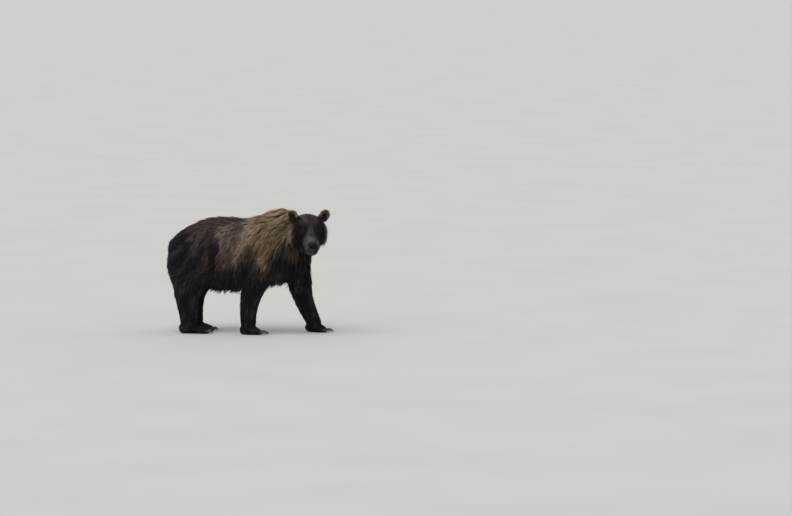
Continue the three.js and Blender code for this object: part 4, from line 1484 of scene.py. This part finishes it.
def hair_material(name, colours, roughness, finish):
    """Hair or haired skin, its colour led by the tone of each tuft and by the coat's markings with their
    painted shade and light.
    """
    material, tree, shader = new_material(name, Roughness=roughness, IOR=1.5, Specular_IOR_Level=0.22)
    tone = attribute(tree, "tone")
    kinds = {}
    for kind in ("brown", *MARKS):
        parts = ((0.0, "_root"), (0.45, "_hair"), (1.0, "_tip"))
        kinds[kind] = ramp(tree, tone, [(at, getattr(colours, kind + part)) for at, part in parts])
    blended = kinds["brown"]
    for mark in MARKS:
        blended = laid_over(tree, blended, {MIX_TOP: kinds[mark], "Factor": attribute(tree, mark)})
    tree.links.new(blended, shader.inputs["Base Color"])
    finish(tree, shader, blended)
    return material


REGIONS = (
    "coat_face",
    "coat_crown",
    "coat_ruff",
    "coat_mane_right",
    "coat_mane_left",
    "coat_barrel_right",
    "coat_barrel_left",
    "coat_belly",
    "coat_rump",
    "coat_foreleg_right",
    "coat_foreleg_left",
    "coat_hindleg_right",
    "coat_hindleg_left",
)


def region_of(places):
    """The name of the piece of coat that each place belongs to."""
    x, y, _ = places.points.T
    region = np.where(y > 0, "coat_barrel_left", "coat_barrel_right")
    region = np.where(places.under > 0.35, "coat_belly", region)
    region = np.where(x > 130, np.where(y < -60, "coat_mane_right", "coat_mane_left"), region)
    region = np.where(x < -400, "coat_rump", region)
    fore = np.where(y > 0, "coat_foreleg_left", "coat_foreleg_right")
    hind = np.where(y > 0, "coat_hindleg_left", "coat_hindleg_right")
    region = np.where(places.leg > 0.5, np.where(x > -200, fore, hind), region)
    head = np.where(places.head_points[:, 0] > 15, "coat_face", "coat_crown")
    head = np.where(places.cheek > 0.3, "coat_ruff", head)
    return np.where(places.head > 0.5, head, region)


class BEAR_OT_coat(bpy.types.Operator):
    """Grow the coat: tufts gathered into locks that lie along the body, short on face and feet"""

    bl_idname = "bear.coat"
    bl_label = "Coat"

    def execute(self, context):
        coat, colours = context.scene.bear_coat, context.scene.bear_colours
        rng = np.random.default_rng(SEED)
        skin = bpy.data.objects["skin"]
        surface = Surface(skin)
        self.mark_skin(skin, surface, coat, colours)
        grown = Places(surface.middles, surface.facing, coat)
        weights = grown.weight * ~grown.bare()
        roots, normals, flat = surface.scattered(weights, coat.tufts, rng)
        places = Places(roots, normals, coat)
        places.marks()
        locks, lock_of = self.gather(places, rng)
        lines = tuft_lines(roots, places, lock_of, locks, lock_lines(surface, locks, rng), rng)
        lock_tones = STREAK_TONE * locks.streaks() + LOCK_CHANCE * rng.random(len(locks.points))
        tones = LOCK_TONE * lock_tones[lock_of] + TUFT_CHANCE * rng.random(len(roots))
        # places.light carries the LIGHTS patches: painted shade in the fold, low on the barrel, at the elbow
        # and on the chest, and painted light on the hump and the ears' rims.
        light = np.maximum(places.light, 0)
        tones = mixed(0.8 * tones, 0.5 + 0.75 * tones, light) * (1 + 0.6 * np.minimum(places.light, 0))
        region = region_of(places)
        material = hair_material("guard hair over underfur", colours, 0.6, lambda *_: None)
        for name in REGIONS:
            mine = np.flatnonzero(region == name)
            mesh = tuft_mesh(name, lines[mine], picked(places, mine), tones[mine], flat[mine], rng)
            if len(mesh.polygons) > MOST_TRIANGLES:
                raise ValueError(f"{name} has {len(mesh.polygons)} triangles")
            shown(mesh, name, material)
        return {"FINISHED"}

    def gather(self, places, rng):
        """Choose the tufts that lead a lock, and the leader that each tuft follows."""
        gap = np.clip(places.length * LOCK_GAP, LEAST_GAP, MOST_GAP)
        order = rng.permutation(len(gap))
        cells = {}
        leaders = []
        for i in order.tolist():
            size = GAP_STEP ** round(math.log(gap[i], GAP_STEP))
            cell = (size, *(places.points[i] // size).astype(int).tolist())
            if cell not in cells:
                cells[cell] = i
                leaders.append(i)
        leaders = np.array(leaders)
        tree = KDTree(len(leaders))
        for n, i in enumerate(leaders.tolist()):
            tree.insert(places.points[i], n)
        tree.balance()
        lock_of = np.array([tree.find(p)[1] for p in places.points.tolist()])
        return picked(places, leaders), lock_of

    def mark_skin(self, skin, surface, coat, colours):
        """Give the skin the coat's markings with their painted shade and light, and a material that shows
        them.
        """
        places = Places(surface.points, surface.normals, coat)
        places.marks()
        numbers(skin.data, "tone", 0.2 + 0.3 * places.streaks())
        for mark in MARKS:
            numbers(skin.data, mark, getattr(places, mark))
        numbers(skin.data, "bare", places.bare())

        def short_hair(tree, shader, colour):
            # Nap of single hairs a few millimetres apart, with bare black skin at lips and eyes.
            values, links = {MIX_TOP: opaque(colours.leather)}, {"Factor": attribute(tree, "bare")}
            tree.links.new(laid_over(tree, colour, links, values), shader.inputs["Base Color"])
            bumped(tree, shader, noise(tree, 0.003, Detail=3.0), 0.0015, 0.7)

        skin.data.materials.clear()
        skin.data.materials.append(hair_material("underfur and skin", colours, 0.75, short_hair))


def picked(places, rows):
    """The same values at some of the places only."""
    made = Places.__new__(Places)
    for key, value in vars(places).items():
        setattr(made, key, value[rows])
    return made


# ---- The studio ----

FLOOR_RADIUS = 300
KEY_SPREAD = math.radians(50)
KEY_TURN = Euler((math.radians(28), math.radians(-18), math.radians(10)))
# The camera looks at a point in front of the bear, which stands to the left in its view.
VIEW_AHEAD = 1404
VIEW_TURN = math.radians(10)
VIEW_HEIGHT = 697
VIEW_MIDDLE = Vector((VIEW_AHEAD * math.cos(VIEW_TURN), VIEW_AHEAD * math.sin(VIEW_TURN), VIEW_HEIGHT))


class BEAR_OT_studio(bpy.types.Operator):
    """Lay the pale floor, light it softly from all round and from above, and place the camera"""

    bl_idname = "bear.studio"
    bl_label = "Studio"

    def execute(self, context):
        studio = context.scene.bear_studio
        self.floor(studio)
        self.lights(context, studio)
        self.camera(context, studio)
        context.scene.view_settings.view_transform = "Standard"
        return {"FINISHED"}

    def floor(self, studio):
        bm = bmesh.new()
        bmesh.ops.create_circle(bm, cap_ends=True, radius=FLOOR_RADIUS, segments=96)
        made = object_of(mesh_of(bm, "floor"), "floor")
        # Matt floor paint, rolled on: no pattern but a faint unevenness of tone.
        material, tree, shader = new_material("matt floor paint", Roughness=0.85)
        tone = noise(tree, 1.2, Detail=2.0)
        stops = [(0.3, [c * 0.96 for c in studio.floor]), (0.7, studio.floor)]
        tree.links.new(ramp(tree, tone, stops), shader.inputs["Base Color"])
        made.data.materials.append(material)

    def lights(self, context, studio):
        world = bpy.data.worlds.new("soft light")
        context.scene.world = world
        world.use_nodes = True
        background = world.node_tree.nodes["Background"]
        background.inputs["Color"].default_value = opaque(studio.sky)
        background.inputs["Strength"].default_value = studio.sky_strength
        lamp = bpy.data.lights.new("key", "SUN")
        lamp.energy = studio.key_strength
        lamp.angle = KEY_SPREAD
        made = bpy.data.objects.new("key", lamp)
        made.rotation_euler = KEY_TURN
        context.scene.collection.objects.link(made)

    def camera(self, context, studio):
        lens = bpy.data.cameras.new("camera")
        lens.angle = 2 * math.atan(studio.view_width / 2 / studio.distance)
        lens.clip_end = 2 * FLOOR_RADIUS
        made = bpy.data.objects.new("camera", lens)
        flat, rise = math.cos(studio.elevation), math.sin(studio.elevation)
        away = Vector((math.sin(studio.azimuth) * flat, -math.cos(studio.azimuth) * flat, rise))
        made.location = TO_ROW @ VIEW_MIDDLE + studio.distance * away
        made.rotation_euler = away.to_track_quat("Z", "Y").to_euler()
        context.scene.collection.objects.link(made)
        context.scene.camera = made


class BEAR_PT_panel(bpy.types.Panel):
    """The bear's pieces in the order in which they are made, and their sizes"""

    bl_label = "Grizzly bear"
    bl_idname = "BEAR_PT_panel"
    bl_space_type = "VIEW_3D"
    bl_region_type = "UI"
    bl_category = "Bear"

    def draw(self, context):
        for piece in PIECES:
            self.layout.operator(piece.bl_idname)
        for name, group in GROUPS.items():
            box = self.layout.box()
            for key in group.__annotations__:
                box.prop(getattr(context.scene, name), key)


PIECES = (BEAR_OT_skin, BEAR_OT_coat, BEAR_OT_eyes, BEAR_OT_nose, BEAR_OT_claws, BEAR_OT_studio)
GROUPS = {
    "bear_body": BodySizes,
    "bear_head": HeadSizes,
    "bear_coat": CoatSizes,
    "bear_colours": CoatColours,
    "bear_studio": StudioSettings,
}
CLASSES = (*GROUPS.values(), *PIECES, BEAR_PT_panel)


def register():
    for cls in CLASSES:
        bpy.utils.register_class(cls)
    for name, group in GROUPS.items():
        setattr(bpy.types.Scene, name, PointerProperty(type=group))


def unregister():
    for name in GROUPS:
        delattr(bpy.types.Scene, name)
    for cls in reversed(CLASSES):
        bpy.utils.unregister_class(cls)


def main():
    register()
    bpy.ops.bear.skin()
    bpy.ops.bear.coat()
    bpy.ops.bear.eyes()
    bpy.ops.bear.nose()
    bpy.ops.bear.claws()
    bpy.ops.bear.studio()
    bpy.context.view_layer.update()


if __name__ == "__main__":
    main()
